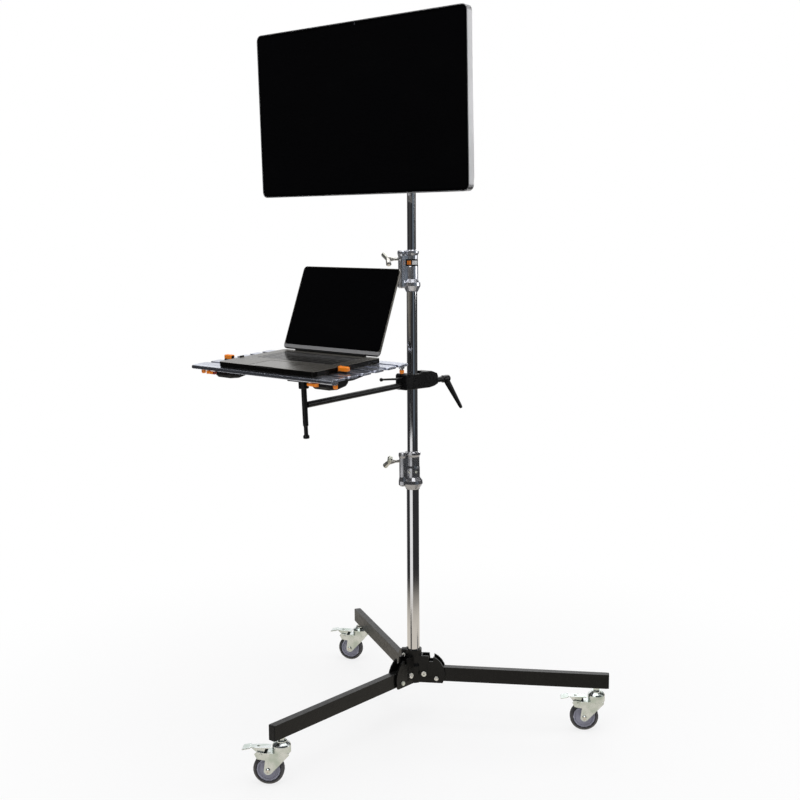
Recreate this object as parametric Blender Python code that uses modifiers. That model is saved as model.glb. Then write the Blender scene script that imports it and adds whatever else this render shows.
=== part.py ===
"""Rolling tethering workstation: a wheeled folding stand with a monitor, a slatted tray and a laptop.

Units are metres and +Z is up. The user stands on the -Y side, with +X on the right.
Everything hangs from the column's axis, which stands at STAND_X, STAND_Y on the floor.
"""

import bpy
import bmesh
from math import cos, pi, radians, sin, sqrt
from mathutils import Matrix, Vector

# Place of the column's axis, which centres the whole object's box on the origin
STAND_X = 0.0361
STAND_Y = 0.1412

# Gaps between pieces, and how far joined shapes and cutters run into and past each other
SEAT = 0.0003
RUNNING = 0.0005
JOIN = 0.0005
PAST = 0.010
EDGE = 0.001

# Legs, as a heading about the column and the caster's heading, in degrees
LEGS = {"front": (-90.0, 218.0), "right": (32.5, 216.0), "left": (150.0, 207.0)}
LEG_WIDTH = 0.020
LEG_HEIGHT = 0.040
LEG_WALL = 0.0018
LEG_REACH = 0.546
FOLD_RADIUS = 0.067
FOLD_RISE = 0.009
FOLD_BOLT_RADIUS = 0.004
FOLD_HEAD_RADIUS = 0.0062
FOLD_HEAD = 0.0042
STEM_INSET = 0.034
CAP_LIP = 0.003
CAP_PLUG = 0.012

# Casters
CASTER_HEIGHT = 0.122
WHEEL_RADIUS = 0.039
TYRE_WIDTH = 0.024
TYRE_DEPTH = 0.0085
TYRE_SHOULDER = 0.006
CASTER_TRAIL = 0.033
HUB_RADIUS = 0.010
HUB_HALF_WIDTH = 0.0139
WEB_HALF_WIDTH = 0.0045
AXLE_RADIUS = 0.004
AXLE_HEAD_RADIUS = 0.0065
AXLE_HEAD = 0.004
STEM_RADIUS = 0.005
STEM_IN_LEG = 0.020
STEM_FLANGE = 0.008
NUT_RADIUS = 0.0095
NUT_HEIGHT = 0.008
RACE_RADIUS = 0.014
RACE_HEIGHT = 0.003
DOME_RADIUS = 0.0235
DOME_SHOULDER = 0.008
FORK_PLATE = 0.0025
FORK_TOP = 0.085
FORK_BACK = 0.020
FORK_NOSE_RADIUS = 0.011
FORK_WAIST = 0.007
FORK_WING_REACH = 0.034
FORK_WING_LOW = 0.069
FORK_WING_HIGH = 0.088
PEDAL_PIVOT_X = 0.050
PEDAL_PIVOT_Z = 0.081
PEDAL_PIN_RADIUS = 0.003
PEDAL_HALF_WIDTH = 0.012
PEDAL_NECK_HALF_WIDTH = 0.008
PEDAL_SHEET = 0.0024
PEDAL_DECK = 0.0150
PEDAL_BACK = 0.022
PEDAL_TIP = 0.098
PEDAL_PAD = 0.020
PEDAL_PAD_DROOP = 12.0
PEDAL_EAR = 0.0055
PEDAL_PAD_WIDTH = 0.030
PEDAL_WINDOW = 0.0045

# Folding base
CORE_RADIUS = 0.026
CORE_TOP = 0.178
CORE_SLOPE = 0.013
SOCKET_RADIUS = 0.0235
SOCKET_TOP = 0.211
SOCKET_LENGTH = 0.056
SOCKET_FLOOR = 0.130
CHEEK = 0.005
CHEEK_GAP = 0.0013
CHEEK_ARC = 0.055
CHEEK_CENTRE = 0.036
CHEEK_TOP = 0.054
CHEEK_FOOT = 0.002
NOTCH_ANGLE = 66.0
NOTCH_HEIGHT = 0.036
NOTCH_WIDTH = 0.012
POCKET_DEPTH = 0.0015
POCKET_START = 0.041
POCKET_END = 0.058
POCKET_RISE = 0.027
TIE_RADIUS = 0.032
TIE_RISE = 0.021
TIE_SHANK_RADIUS = 0.0035
TIE_HEAD_RADIUS = 0.0070
TIE_HEAD = 0.004
SLOT_START = 0.0265
SLOT_LENGTH = 0.100
SLOT_HEIGHT = 0.140
CASTING_DROP = 0.0045
LUG_REACH = 0.0345
LUG_START = 0.012
LUG_WIDTH = 0.018
LUG_HEIGHT = 0.030
LUG_SLIT = 0.002
LUG_SCREW_RADIUS = 0.003
LUG_SCREW_HEAD = 0.0045
LUG_SCREW_INSET = 0.0065
LUG_HEADING = 220.3

# Column tubes, each as its radius, with the length of each and the height of its top
TUBE_WALL = 0.0016
LOWER_RADIUS = 0.0175
MIDDLE_RADIUS = 0.0150
TOP_RADIUS = 0.0125
LOWER_TOP = 0.716
MIDDLE_TOP = 1.252
TOP_TOP = 1.640
MIDDLE_LENGTH = 0.700
TOP_LENGTH = 0.580
PLUG_LENGTH = 0.020
PIN_RADIUS = 0.0079
PIN_LENGTH = 0.072
GROOVE_DEPTH = 0.002
GROOVE_START = 0.020
GROOVE_LENGTH = 0.014

# Clamping collars, at the height of the bottom rim
COLLAR_HEADING = 245.3
LOWER_COLLAR_Z = 0.671
LOWER_COLLAR_HEIGHT = 0.106
LOWER_FLARE = 0.011
LOWER_HANDLE_TURN = -52.0
UPPER_COLLAR_Z = 1.216
UPPER_COLLAR_HEIGHT = 0.113
UPPER_FLARE = 0.0095
UPPER_HANDLE_TURN = 52.0
COLLAR_WALL = 0.0045
COLLAR_LIP = 0.003
COLLAR_NECK = 0.040
COLLAR_FOOT = 0.016
COLLAR_BARREL = 0.0095
COLLAR_WEB = 0.016
BARREL_OFFSET = 0.0305
BARREL_LIP = 0.002
BARREL_FOOT = 0.010
T_SCREW_RADIUS = 0.004
T_SCREW_DROP = 0.025
T_CONE = 0.015
T_CONE_RADIUS = 0.0080
T_BAR_LENGTH = 0.050
T_BAR_RADIUS = 0.0066
T_BAR_SWEEP = 0.006
T_BAR_OFFSET = 0.0705

# Monitor and its bracket
MONITOR_WIDTH = 0.688
MONITOR_HEIGHT = 0.4244
MONITOR_CORNER = 0.015
MONITOR_EDGE = 0.019
MONITOR_DEPTH = 0.058
MONITOR_SHOULDER = 0.003
MONITOR_SWELL_INSET = 0.090
MONITOR_FLAT_INSET = 0.120
MONITOR_WALL = 0.0022
MONITOR_Z = 1.6825
MONITOR_REACH = 0.228
MONITOR_PAN = 2.0
MONITOR_TILT = 2.3
MONITOR_SHIFT = 0.005
MONITOR_ROLL = 0.65
GLASS = 0.003
GLASS_SET_BACK = 0.0006
TILT_REACH = 0.150
MOUNT_SIZE = 0.118
MOUNT_CORNER = 0.008
MOUNT_PLATE = 0.003
MOUNT_HOLES = 0.100
MOUNT_HOLE_RADIUS = 0.0025
EAR_WIDTH = 0.004
EAR_RADIUS = 0.014
EAR_FOOT = 0.024
TONGUE_WIDTH = 0.022
TONGUE_HEIGHT = 0.026
TILT_PIN_RADIUS = 0.005
TILT_PIN_END = 0.003
SLEEVE_RADIUS = 0.015
SLEEVE_HEIGHT = 0.062
SLEEVE_LIFT = 0.008
KNOB_RISE = 0.016
KNOB_RADIUS = 0.013
KNOB_LENGTH = 0.022
KNOB_FLUTES = 6
KNOB_FLUTE_RADIUS = 0.004

# Clamp on the middle tube
CLAMP_Z = 0.966
CLAMP_HEADING = -0.85
CLAMP_FRONT = 0.047
CLAMP_REAR = 0.088
CLAMP_TOP = 0.030
CLAMP_BOTTOM = 0.0145
CLAMP_HALF_WIDTH = 0.020
CLAMP_SIDE_WALL = 0.0044
CLAMP_EDGE = 0.0015
BUTTON_RADIUS = 0.0036
BUTTON_HEIGHT = 0.0025
BUTTON_X = 0.0115
BUTTON_Y = -0.0215
JAW_TRAVEL = 0.006
JAW_FRONT = 0.011
JAW_BACK = 0.031
JAW_HEIGHT = 0.038
JAW_RISE = 0.006
SCREW_RADIUS = 0.005
HANDLE_HUB_RADIUS = 0.0105
HANDLE_HUB_WAIST = 0.0080
HANDLE_HUB_END = 0.158
LEVER_SET_BACK = 0.014
LEVER_LENGTH = 0.095
LEVER_ANGLE = -58.3
LEVER_SPLAY = 0.10
LEVER_RADIUS = 0.0090

# Support arm, its lock lever and the post
ARM_RADIUS = 0.008
ARM_DROOP = 2.7
ARM_REACH = 0.4064
ARM_START = 0.026
LOCK_SLOT_HALF_WIDTH = 0.005
LOCK_SLOT_START = 0.0265
LOCK_SLOT_FLOOR = 0.0115
LOCK_PIN_Y = 0.0345
LOCK_PIN_Z = 0.0195
LOCK_PIN_RADIUS = 0.0025
LOCK_CAM_RADIUS = 0.0070
LOCK_FINGER_RADIUS = 0.0032
LOCK_TIP_Y = 0.128
LOCK_TIP_Z = 0.0200
LOCK_KNOB_RADIUS = 0.0050
POST_RADIUS = 0.007
POST_TOP_DROP = 0.022
POST_DROP = 0.084
POST_NECK_RADIUS = 0.0052
POST_NECK_TOP = 0.033
POST_FOOT_RADIUS = 0.008
POST_FOOT = 0.007

# Laptop tray, in its own plane with z = 0 on the slats' top
TRAY_WIDTH = 0.505
TRAY_DEPTH = 0.284
TRAY_RISE = 0.0884
TRAY_X = -0.19 * TRAY_WIDTH
TRAY_Y = 0.074
TRAY_PITCH = 1.24
TRAY_ROLL = 1.09
TRAY_HEADING = 1.5
SLAT_COUNT = 6
SLAT_GAP = 0.012
SLAT_CORNER = 0.006
SLAT_THICKNESS = 0.006
RAIL_DEPTH = 0.016
RAIL_HEIGHT = 0.012
RAIL_NOSE = 0.005
CROSS_BAR = 0.018
CROSS_BAR_THICKNESS = 0.003
CROSS_BAR_INSET = 0.032
RECEIVER_RADIUS = 0.013
RECEIVER_DROP = 0.046
RECEIVER_PLATE = 0.060
RECEIVER_PLATE_DROP = 0.026
STUD_INSET_X = 0.014
STUD_INSET_Y = 0.012
STUD_RADIUS = 0.0075
STUD_NECK_RADIUS = 0.0045
STUD_CAP_RADIUS = 0.0060
STUD_HEIGHT = 0.019
CAM_INSET = 0.057
CAM_PIN_INSET = 0.008
CAM_RADIUS = 0.0055
CAM_HEIGHT = 0.008
CAM_GRIP = 0.030
POD_WIDTH = 0.062
POD_LENGTH = 0.075
POD_HEIGHT = 0.030
POD_ROUNDING = 0.010
POD_FOOT_LENGTH = 0.077
POD_FOOT_WIDTH = 0.050
POD_FOOT_HEIGHT = 0.017
POD_INSET_X = 0.045
POD_INSET_Y = 0.035

# Laptop
LAPTOP_WIDTH = 0.346
LAPTOP_DEPTH = 0.241
LAPTOP_THICKNESS = 0.014
LAPTOP_X = 0.015
LAPTOP_Y = -0.011
LAPTOP_CORNER = 0.010
CASE_WALL = 0.0015
CASE_TOP = 0.004
CASE_SIDE = 0.0035
CASE_REAR = 0.0175
COVER = 0.0012
COVER_INSET = 0.001
LID_LENGTH = 0.235
LID_THICKNESS = 0.0048
LID_LEAN = 24.8
LID_CHIN = 0.012
LID_BORDER = 0.0022
LID_BACK = 0.0012
HINGE_INSET = 0.006
HINGE_RADIUS = 0.0045
HINGE_WIDTH = 0.250
KEY_PITCH = 0.0190
KEY_DEPTH_PITCH = 0.01805
KEY_GAP = 0.0025
KEY_HEIGHT = 0.0016
KEY_SINK = 0.0004
KEY_ROWS = 6
KEY_COLUMNS = 14
KEY_BAR_COLUMNS = range(5, 9)
WELL_DEPTH = 0.0014
WELL_MARGIN = 0.001
WELL_REAR = 0.030
PAD_WIDTH = 0.125
PAD_DEPTH = 0.078
PAD_INSET = 0.005
PAD_SINK = 0.0003
SCOOP_RADIUS = 0.006
SCOOP_WIDTH = 0.064

# Laptop clips, each with its arm's reach from the laptop's edge and its heading
CLIPS = {"left": (0.038, 180.0), "right": (0.004, 0.0)}
CLIP_Y = -0.047
CLIP_WIDTH = 0.014
CLIP_FOOT = 0.005
CLIP_JAW = 0.004
CLIP_CAP_LENGTH = 0.028
CLIP_CAP_HEIGHT = 0.012

# Facets around round pieces, and the angles above which an edge is chamfered or looks sharp
ROUND = 28
MEDIUM_ROUND = 18
SMALL_ROUND = 14
TINY_ROUND = 10
SHARP_ANGLE = 60.0
SMOOTH_ANGLE = 32.0


# Scene and frames

def clear_scene():
    for item in list(bpy.data.objects):
        bpy.data.objects.remove(item, do_unlink=True)


def collection(name):
    group = bpy.data.collections.new(name)
    bpy.context.scene.collection.children.link(group)
    return group


def frame(name, parent=None, location=(0.0, 0.0, 0.0), turn=(0.0, 0.0, 0.0)):
    """An empty that carries pieces; turn is in degrees about X, Y and Z."""
    carrier = bpy.data.objects.new(name, None)
    carrier.empty_display_size = 0.03
    carrier.parent = parent
    carrier.location = location
    carrier.rotation_euler = [radians(angle) for angle in turn]
    PARTS.objects.link(carrier)
    return carrier


MATERIALS = {
    "black_paint": ((0.015, 0.015, 0.016), 0.45, 0.0),
    "black_metal": ((0.02, 0.02, 0.022), 0.4, 0.6),
    "black_plastic": ((0.02, 0.02, 0.02), 0.5, 0.0),
    "chrome": ((0.75, 0.76, 0.78), 0.08, 1.0),
    "bright_casting": ((0.72, 0.73, 0.78), 0.22, 1.0),
    "zinc": ((0.62, 0.64, 0.6), 0.35, 1.0),
    "tyre_rubber": ((0.05, 0.05, 0.05), 0.7, 0.0),
    "wheel_grey": ((0.22, 0.22, 0.26), 0.55, 0.0),
    "silver_aluminium": ((0.6, 0.6, 0.62), 0.3, 1.0),
    "dark_glass": ((0.005, 0.005, 0.006), 0.08, 0.0),
    "grey_anodised": ((0.35, 0.36, 0.42), 0.35, 1.0),
    "orange_plastic": ((0.9, 0.28, 0.02), 0.4, 0.0),
    "dark_aluminium": ((0.12, 0.12, 0.125), 0.4, 0.8),
}


def material(name):
    """The Principled material of that name, made when first asked for."""
    if name in bpy.data.materials:
        return bpy.data.materials[name]
    colour, roughness, metallic = MATERIALS[name]
    made = bpy.data.materials.new(name)
    made.use_nodes = True
    shader = made.node_tree.nodes["Principled BSDF"]
    shader.inputs["Base Color"].default_value = (*colour, 1.0)
    shader.inputs["Roughness"].default_value = roughness
    shader.inputs["Metallic"].default_value = metallic
    return made


def piece(name, mesh, carrier, finish):
    """One sub-part: an object on its carrier's frame, shaded smooth with sharp edges kept."""
    part = bpy.data.objects.new(name, mesh)
    part.parent = carrier
    PARTS.objects.link(part)
    mesh.name = name
    if not mesh.materials:
        mesh.materials.append(material(finish))
    mesh.shade_smooth()
    mesh.set_sharp_from_angle(angle=radians(SMOOTH_ANGLE))
    return part


# Meshes

def tidy(mesh):
    """Weld loose caps and turn every face outward."""
    work = bmesh.new()
    work.from_mesh(mesh)
    bmesh.ops.remove_doubles(work, verts=work.verts, dist=0.000001)
    bmesh.ops.recalc_face_normals(work, faces=work.faces)
    work.to_mesh(mesh)
    work.free()
    return mesh


def baked(source):
    """The evaluated mesh of a working object, which is then removed."""
    depsgraph = bpy.context.evaluated_depsgraph_get()
    mesh = bpy.data.meshes.new_from_object(source.evaluated_get(depsgraph))
    mesh.transform(source.matrix_world)
    bpy.data.objects.remove(source, do_unlink=True)
    return tidy(mesh)


def moved(mesh, location=(0.0, 0.0, 0.0), turn=(0.0, 0.0, 0.0)):
    """Turn a mesh about X, then Y, then Z in degrees, and shift it."""
    shift = Matrix.Translation(location)
    for axis, angle in zip("ZYX", reversed(turn)):
        shift = shift @ Matrix.Rotation(radians(angle), 4, axis)
    mesh.transform(shift)
    return mesh


def box(size, centre=(0.0, 0.0, 0.0), bevel=0.0, segments=1):
    work = bmesh.new()
    bmesh.ops.create_cube(work, size=1.0)
    bmesh.ops.scale(work, vec=size, verts=work.verts)
    if bevel:
        bmesh.ops.bevel(work, geom=work.edges[:], offset=bevel, segments=segments,
                        profile=0.5, affect="EDGES")
    bmesh.ops.translate(work, vec=centre, verts=work.verts)
    mesh = bpy.data.meshes.new("box")
    work.to_mesh(mesh)
    work.free()
    return mesh


def rod(radius, bottom, top, steps=SMALL_ROUND):
    """A cylinder along Z from bottom to top."""
    work = bmesh.new()
    bmesh.ops.create_cone(work, cap_ends=True, segments=steps, radius1=radius,
                          radius2=radius, depth=top - bottom)
    bmesh.ops.translate(work, vec=(0.0, 0.0, (top + bottom) / 2), verts=work.verts)
    mesh = bpy.data.meshes.new("rod")
    work.to_mesh(mesh)
    work.free()
    return mesh


def turned(profile, steps=ROUND, closed=False):
    """A shape turned about Z from (radius, height) points that run down its outer side."""
    mesh = bpy.data.meshes.new("profile")
    points = [(radius, 0.0, height) for radius, height in profile]
    edges = [(index, index + 1) for index in range(len(points) - 1)]
    if closed:
        edges.append((len(points) - 1, 0))
    mesh.from_pydata(points, edges, [])
    blank = bpy.data.objects.new("turned", mesh)
    WORK.objects.link(blank)
    screw = blank.modifiers.new("turn", "SCREW")
    screw.axis = "Z"
    screw.steps = steps
    screw.render_steps = steps
    screw.use_merge_vertices = True
    screw.merge_threshold = 0.00001
    return baked(blank)


def mirrored(side):
    """A profile whose lower half repeats its upper half."""
    return side + [(radius, -height) for radius, height in reversed(side)]


def plate(outline, thickness, edge=0.0):
    """A flat outline in XY, centred on z = 0, with its rims chamfered by edge."""
    curve = bpy.data.curves.new("outline", "CURVE")
    curve.dimensions = "2D"
    curve.fill_mode = "BOTH"
    curve.extrude = thickness / 2
    spline = curve.splines.new("POLY")
    spline.points.add(len(outline) - 1)
    for point, (x, y) in zip(spline.points, outline):
        point.co = (x, y, 0.0, 1.0)
    spline.use_cyclic_u = True
    blank = bpy.data.objects.new("outline", curve)
    WORK.objects.link(blank)
    slab = baked(blank)
    if edge:
        softened(slab, edge, lambda low, high: high - low < SEAT)
    return slab


def softened(mesh, size, wanted, segments=1):
    """Bevel the sharp edges of a solid that wanted picks by the heights of their lower and upper ends."""
    work = bmesh.new()
    work.from_mesh(mesh)
    bmesh.ops.dissolve_limit(work, angle_limit=radians(1.0), verts=work.verts, edges=work.edges)
    picked = []
    for edge in work.edges:
        heights = sorted(vert.co.z for vert in edge.verts)
        if edge.calc_face_angle(0.0) > radians(SHARP_ANGLE) and wanted(*heights):
            picked.append(edge)
    bmesh.ops.bevel(work, geom=picked, offset=size, segments=segments, profile=0.5, affect="EDGES")
    work.to_mesh(mesh)
    work.free()
    return mesh


def tube(points, radius, resolution=2):
    """A round bar through points, each with a share of the radius."""
    curve = bpy.data.curves.new("bar", "CURVE")
    curve.dimensions = "3D"
    curve.bevel_depth = radius
    curve.bevel_resolution = resolution
    curve.use_fill_caps = True
    spline = curve.splines.new("POLY")
    spline.points.add(len(points) - 1)
    for target, (x, y, z, share) in zip(spline.points, points):
        target.co = (x, y, z, 1.0)
        target.radius = share
    blank = bpy.data.objects.new("bar", curve)
    WORK.objects.link(blank)
    return baked(blank)


def combined(base, add=(), cut=()):
    """One solid: base with other meshes joined to it, then others cut from it."""
    blank = bpy.data.objects.new("combined", base)
    WORK.objects.link(blank)
    helpers = []
    for operation, meshes in (("UNION", add), ("DIFFERENCE", cut)):
        for mesh in meshes:
            helper = bpy.data.objects.new("helper", mesh)
            helper.hide_render = True
            helper.display_type = "WIRE"
            WORK.objects.link(helper)
            helpers.append(helper)
            step = blank.modifiers.new(operation.lower(), "BOOLEAN")
            step.operation = operation
            step.solver = "EXACT"
            step.object = helper
    result = baked(blank)
    for helper in helpers:
        bpy.data.objects.remove(helper, do_unlink=True)
    return result


def arc(centre_x, centre_y, radius, start, end, count):
    """Points along an arc, from the start angle to the end angle in degrees."""
    points = []
    for index in range(count + 1):
        angle = radians(start + (end - start) * index / count)
        points.append((centre_x + radius * cos(angle), centre_y + radius * sin(angle)))
    return points


def rounded_rectangle(width, depth, corner, count=4):
    points = []
    half_x = width / 2 - corner
    half_y = depth / 2 - corner
    for centre_x, centre_y, start in ((half_x, half_y, 0), (-half_x, half_y, 90),
                                      (-half_x, -half_y, 180), (half_x, -half_y, 270)):
        points.extend(arc(centre_x, centre_y, corner, start, start + 90, count))
    return points


def upright(mesh):
    """Stand an XY outline up in the XZ plane."""
    return moved(mesh, turn=(90.0, 0.0, 0.0))


def sideways(mesh):
    """Stand an outline of (y, z) points up in the YZ plane."""
    mesh.transform(Matrix(((0, 0, 1, 0), (1, 0, 0, 0), (0, 1, 0, 0), (0, 0, 0, 1))))
    return mesh


def along_x(mesh):
    """Lay a shape made along Z down along X."""
    return moved(mesh, turn=(0.0, 90.0, 0.0))


def along_y(mesh):
    """Lay a shape made along Z down along -Y."""
    return moved(mesh, turn=(90.0, 0.0, 0.0))


def headed(mesh, heading):
    """Turn a shape that points along +X to its heading about the column."""
    return moved(mesh, turn=(0.0, 0.0, heading))


# Folding base

def slope_angle(rise, run):
    """The angle whose tangent is rise over run, in degrees."""
    return Vector((run, rise)).angle(Vector((1.0, 0.0))) * 180.0 / pi


def cheek_outline(extra):
    """One leg's cheek in (radius, height), with its quadrant arc, the lock notch and extra foot."""
    bottom = CASTER_HEIGHT - CASTING_DROP - extra
    centre_z = CASTER_HEIGHT + TIE_RISE
    drop = sqrt(CHEEK_ARC ** 2 - (centre_z - bottom) ** 2)
    start = -slope_angle(centre_z - bottom, drop)
    outer = arc(CHEEK_CENTRE, centre_z, CHEEK_ARC, start, NOTCH_ANGLE, 7)
    notch_x = CHEEK_CENTRE + CHEEK_ARC * cos(radians(NOTCH_ANGLE)) - EDGE
    notch = [(notch_x, centre_z + NOTCH_HEIGHT),
             (notch_x - NOTCH_WIDTH + EDGE, centre_z + NOTCH_HEIGHT),
             (notch_x - NOTCH_WIDTH - EDGE, centre_z + CHEEK_TOP - 2 * EDGE)]
    return [(-extra, bottom)] + outer + notch + [(-extra, centre_z + CHEEK_TOP - extra)]


def cheek_pocket():
    """The shallow pocket's outline in a cheek, between the tie bolt and the fold bolt."""
    low = CASTER_HEIGHT + FOLD_RISE
    high = CASTER_HEIGHT + TIE_RISE + POCKET_RISE
    slant = (POCKET_END - POCKET_START) / 2
    return [(POCKET_START, low), (POCKET_END - slant, low), (POCKET_END, low + slant),
            (POCKET_END, high - slant), (POCKET_END - slant, high), (POCKET_START, high)]


def tie_bolt(half):
    """A fixed bolt across the cheeks: the shank, and a domed head at each side."""
    head = [(0.0, half + TIE_HEAD), (TIE_HEAD_RADIUS - 2 * EDGE, half + TIE_HEAD - EDGE / 2),
            (TIE_HEAD_RADIUS, half + TIE_HEAD / 2), (TIE_HEAD_RADIUS, half - JOIN),
            (TIE_SHANK_RADIUS, half - JOIN)]
    return along_y(turned(mirrored(head), TINY_ROUND))


def lug_screw():
    """The screw that clamps the tube's socket, across the split lug."""
    half = LUG_WIDTH / 2
    profile = [(0.0, half + 5 * EDGE), (LUG_SCREW_HEAD - EDGE, half + 5 * EDGE),
               (LUG_SCREW_HEAD, half + 4 * EDGE), (LUG_SCREW_HEAD, half - JOIN),
               (LUG_SCREW_RADIUS, half - JOIN), (LUG_SCREW_RADIUS, -half - 3 * EDGE),
               (0.0, -half - 3 * EDGE)]
    return along_y(turned(profile, TINY_ROUND))


def base_casting():
    bottom = CASTER_HEIGHT - CASTING_DROP
    half = LEG_WIDTH / 2 + CHEEK_GAP + CHEEK
    core = turned([(0.0, CORE_TOP), (SOCKET_RADIUS - EDGE, CORE_TOP), (CORE_RADIUS, CORE_TOP - CORE_SLOPE),
                   (CORE_RADIUS, bottom - EDGE), (0.0, bottom - EDGE)], MEDIUM_ROUND)
    socket = rod(SOCKET_RADIUS, SOCKET_TOP - SOCKET_LENGTH, SOCKET_TOP, MEDIUM_ROUND)
    lug = moved(box((LUG_REACH - LUG_START, LUG_WIDTH, LUG_HEIGHT), bevel=0.003),
                ((LUG_REACH + LUG_START) / 2, 0.0, SOCKET_TOP - LUG_HEIGHT / 2 + EDGE))
    add = [socket, headed(lug, LUG_HEADING)]
    cut = []
    for index, (heading, _) in enumerate(LEGS.values()):
        slab = upright(plate(cheek_outline(CHEEK_FOOT + EDGE * index), 2 * half))
        add.append(headed(slab, heading))
        slot = box((SLOT_LENGTH, LEG_WIDTH + 2 * CHEEK_GAP, SLOT_HEIGHT),
                   (SLOT_START + SLOT_LENGTH / 2, 0.0, CASTER_HEIGHT + LEG_HEIGHT))
        cut.append(headed(slot, heading))
        hole = along_y(rod(FOLD_BOLT_RADIUS + SEAT, -half - PAST, half + PAST, TINY_ROUND))
        cut.append(headed(moved(hole, (FOLD_RADIUS, 0.0, CASTER_HEIGHT + FOLD_RISE)), heading))
        for side in (-1, 1):
            pocket = upright(plate(cheek_pocket(), 2 * POCKET_DEPTH))
            cut.append(headed(moved(pocket, (0.0, side * half, 0.0)), heading))
    cut.append(box((4 * SLOT_LENGTH, 4 * SLOT_LENGTH, 2 * PAST), (0.0, 0.0, bottom - PAST)))
    cut.append(rod(LOWER_RADIUS + SEAT, SOCKET_FLOOR, SOCKET_TOP + PAST, ROUND))
    slit = box((LUG_REACH, LUG_SLIT, LUG_HEIGHT + 8 * EDGE),
               (LOWER_RADIUS - EDGE + LUG_REACH / 2, 0.0, SOCKET_TOP - LUG_HEIGHT / 2 + 2 * EDGE))
    cut.append(headed(slit, LUG_HEADING))
    body = combined(core, add, cut)
    bolts = [headed(moved(lug_screw(), (LUG_REACH - LUG_SCREW_INSET, 0.0, SOCKET_TOP - LUG_HEIGHT / 2)),
                    LUG_HEADING)]
    for heading, _ in LEGS.values():
        bolts.append(headed(moved(tie_bolt(half), (TIE_RADIUS, 0.0, CASTER_HEIGHT + TIE_RISE)),
                            heading))
    return combined(body, bolts)


def fold_bolt():
    """The bolt that a leg folds on, with a domed head and a nut."""
    face = LEG_WIDTH / 2 + CHEEK_GAP + CHEEK + SEAT
    profile = [(0.0, face + FOLD_HEAD), (FOLD_HEAD_RADIUS / 2, face + FOLD_HEAD - JOIN),
               (FOLD_HEAD_RADIUS, face + FOLD_HEAD / 2), (FOLD_HEAD_RADIUS, face),
               (FOLD_BOLT_RADIUS, face), (FOLD_BOLT_RADIUS, -face), (FOLD_HEAD_RADIUS, -face),
               (FOLD_HEAD_RADIUS, -face - FOLD_HEAD), (FOLD_HEAD_RADIUS / 2, -face - FOLD_HEAD - EDGE),
               (0.0, -face - FOLD_HEAD - EDGE)]
    return along_y(turned(profile, TINY_ROUND))


# Legs, in the frame of the fold bolt

def leg_tube():
    end = LEG_REACH - FOLD_RADIUS - CAP_LIP - SEAT
    top = LEG_HEIGHT - FOLD_RISE
    low = sqrt(top ** 2 - FOLD_RISE ** 2)
    inner_arc = arc(0.0, 0.0, top, 90.0, 180.0 + slope_angle(FOLD_RISE, low), 7)
    outline = inner_arc + [(end, -FOLD_RISE), (end, top)]
    outside = upright(plate(outline, LEG_WIDTH))
    middle = LEG_HEIGHT / 2 - FOLD_RISE
    bore = box((end + 2 * LEG_HEIGHT, LEG_WIDTH - 2 * LEG_WALL, LEG_HEIGHT - 2 * LEG_WALL),
               (end / 2, 0.0, middle))
    bolt_hole = along_y(rod(FOLD_BOLT_RADIUS + SEAT, -LEG_WIDTH, LEG_WIDTH, TINY_ROUND))
    stem_hole = rod(STEM_RADIUS + SEAT, -FOLD_RISE - PAST, 0.0, TINY_ROUND)
    stem_hole = moved(stem_hole, (LEG_REACH - STEM_INSET - FOLD_RADIUS, 0.0, 0.0))
    return combined(outside, cut=[bore, bolt_hole, stem_hole])


def leg_end_cap():
    end = LEG_REACH - FOLD_RADIUS
    middle = LEG_HEIGHT / 2 - FOLD_RISE
    head = box((CAP_LIP, LEG_WIDTH, LEG_HEIGHT), (end - CAP_LIP / 2, 0.0, middle), bevel=EDGE)
    plug = box((CAP_PLUG, LEG_WIDTH - 2 * LEG_WALL - 2 * SEAT, LEG_HEIGHT - 2 * LEG_WALL - 2 * SEAT),
               (end - EDGE - CAP_PLUG / 2, 0.0, middle), bevel=EDGE)
    return combined(head, [plug])


# Casters, in the frame of the stem: z = 0 at the leg's underside, +X the trailing side

def caster_stem():
    race_top = -NUT_HEIGHT - JOIN
    fork_bottom = FORK_TOP - FORK_PLATE - CASTER_HEIGHT
    body = turned([(0.0, STEM_IN_LEG), (STEM_RADIUS, STEM_IN_LEG - EDGE), (STEM_RADIUS, race_top),
                   (RACE_RADIUS, race_top), (RACE_RADIUS, race_top - RACE_HEIGHT),
                   (STEM_RADIUS, race_top - RACE_HEIGHT), (STEM_RADIUS, fork_bottom - SEAT),
                   (STEM_FLANGE, fork_bottom - SEAT), (STEM_FLANGE - EDGE, fork_bottom - 3 * EDGE),
                   (0.0, fork_bottom - 3 * EDGE)], 12)
    nut = rod(NUT_RADIUS, -NUT_HEIGHT, -SEAT, 6)
    return combined(body, [nut])


def fork_side_outline():
    """The fork's side plate in (x, z), with z from the stem frame."""
    floor = -CASTER_HEIGHT
    nose = arc(CASTER_TRAIL, floor + WHEEL_RADIUS, FORK_NOSE_RADIUS, 222.0, 352.0, 4)
    top = FORK_TOP + floor - JOIN
    return ([(-FORK_BACK, top), (-FORK_BACK, top - 5 * EDGE)] + nose
            + [(CASTER_TRAIL + FORK_WAIST, floor + FORK_WING_LOW - 3 * EDGE),
               (CASTER_TRAIL + FORK_WING_REACH - FORK_WAIST, floor + FORK_WING_LOW),
               (CASTER_TRAIL + FORK_WING_REACH, floor + FORK_WING_HIGH - 6 * EDGE),
               (CASTER_TRAIL + FORK_WING_REACH - FORK_WAIST, floor + FORK_WING_HIGH),
               (CASTER_TRAIL + FORK_WAIST, top)])


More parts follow.
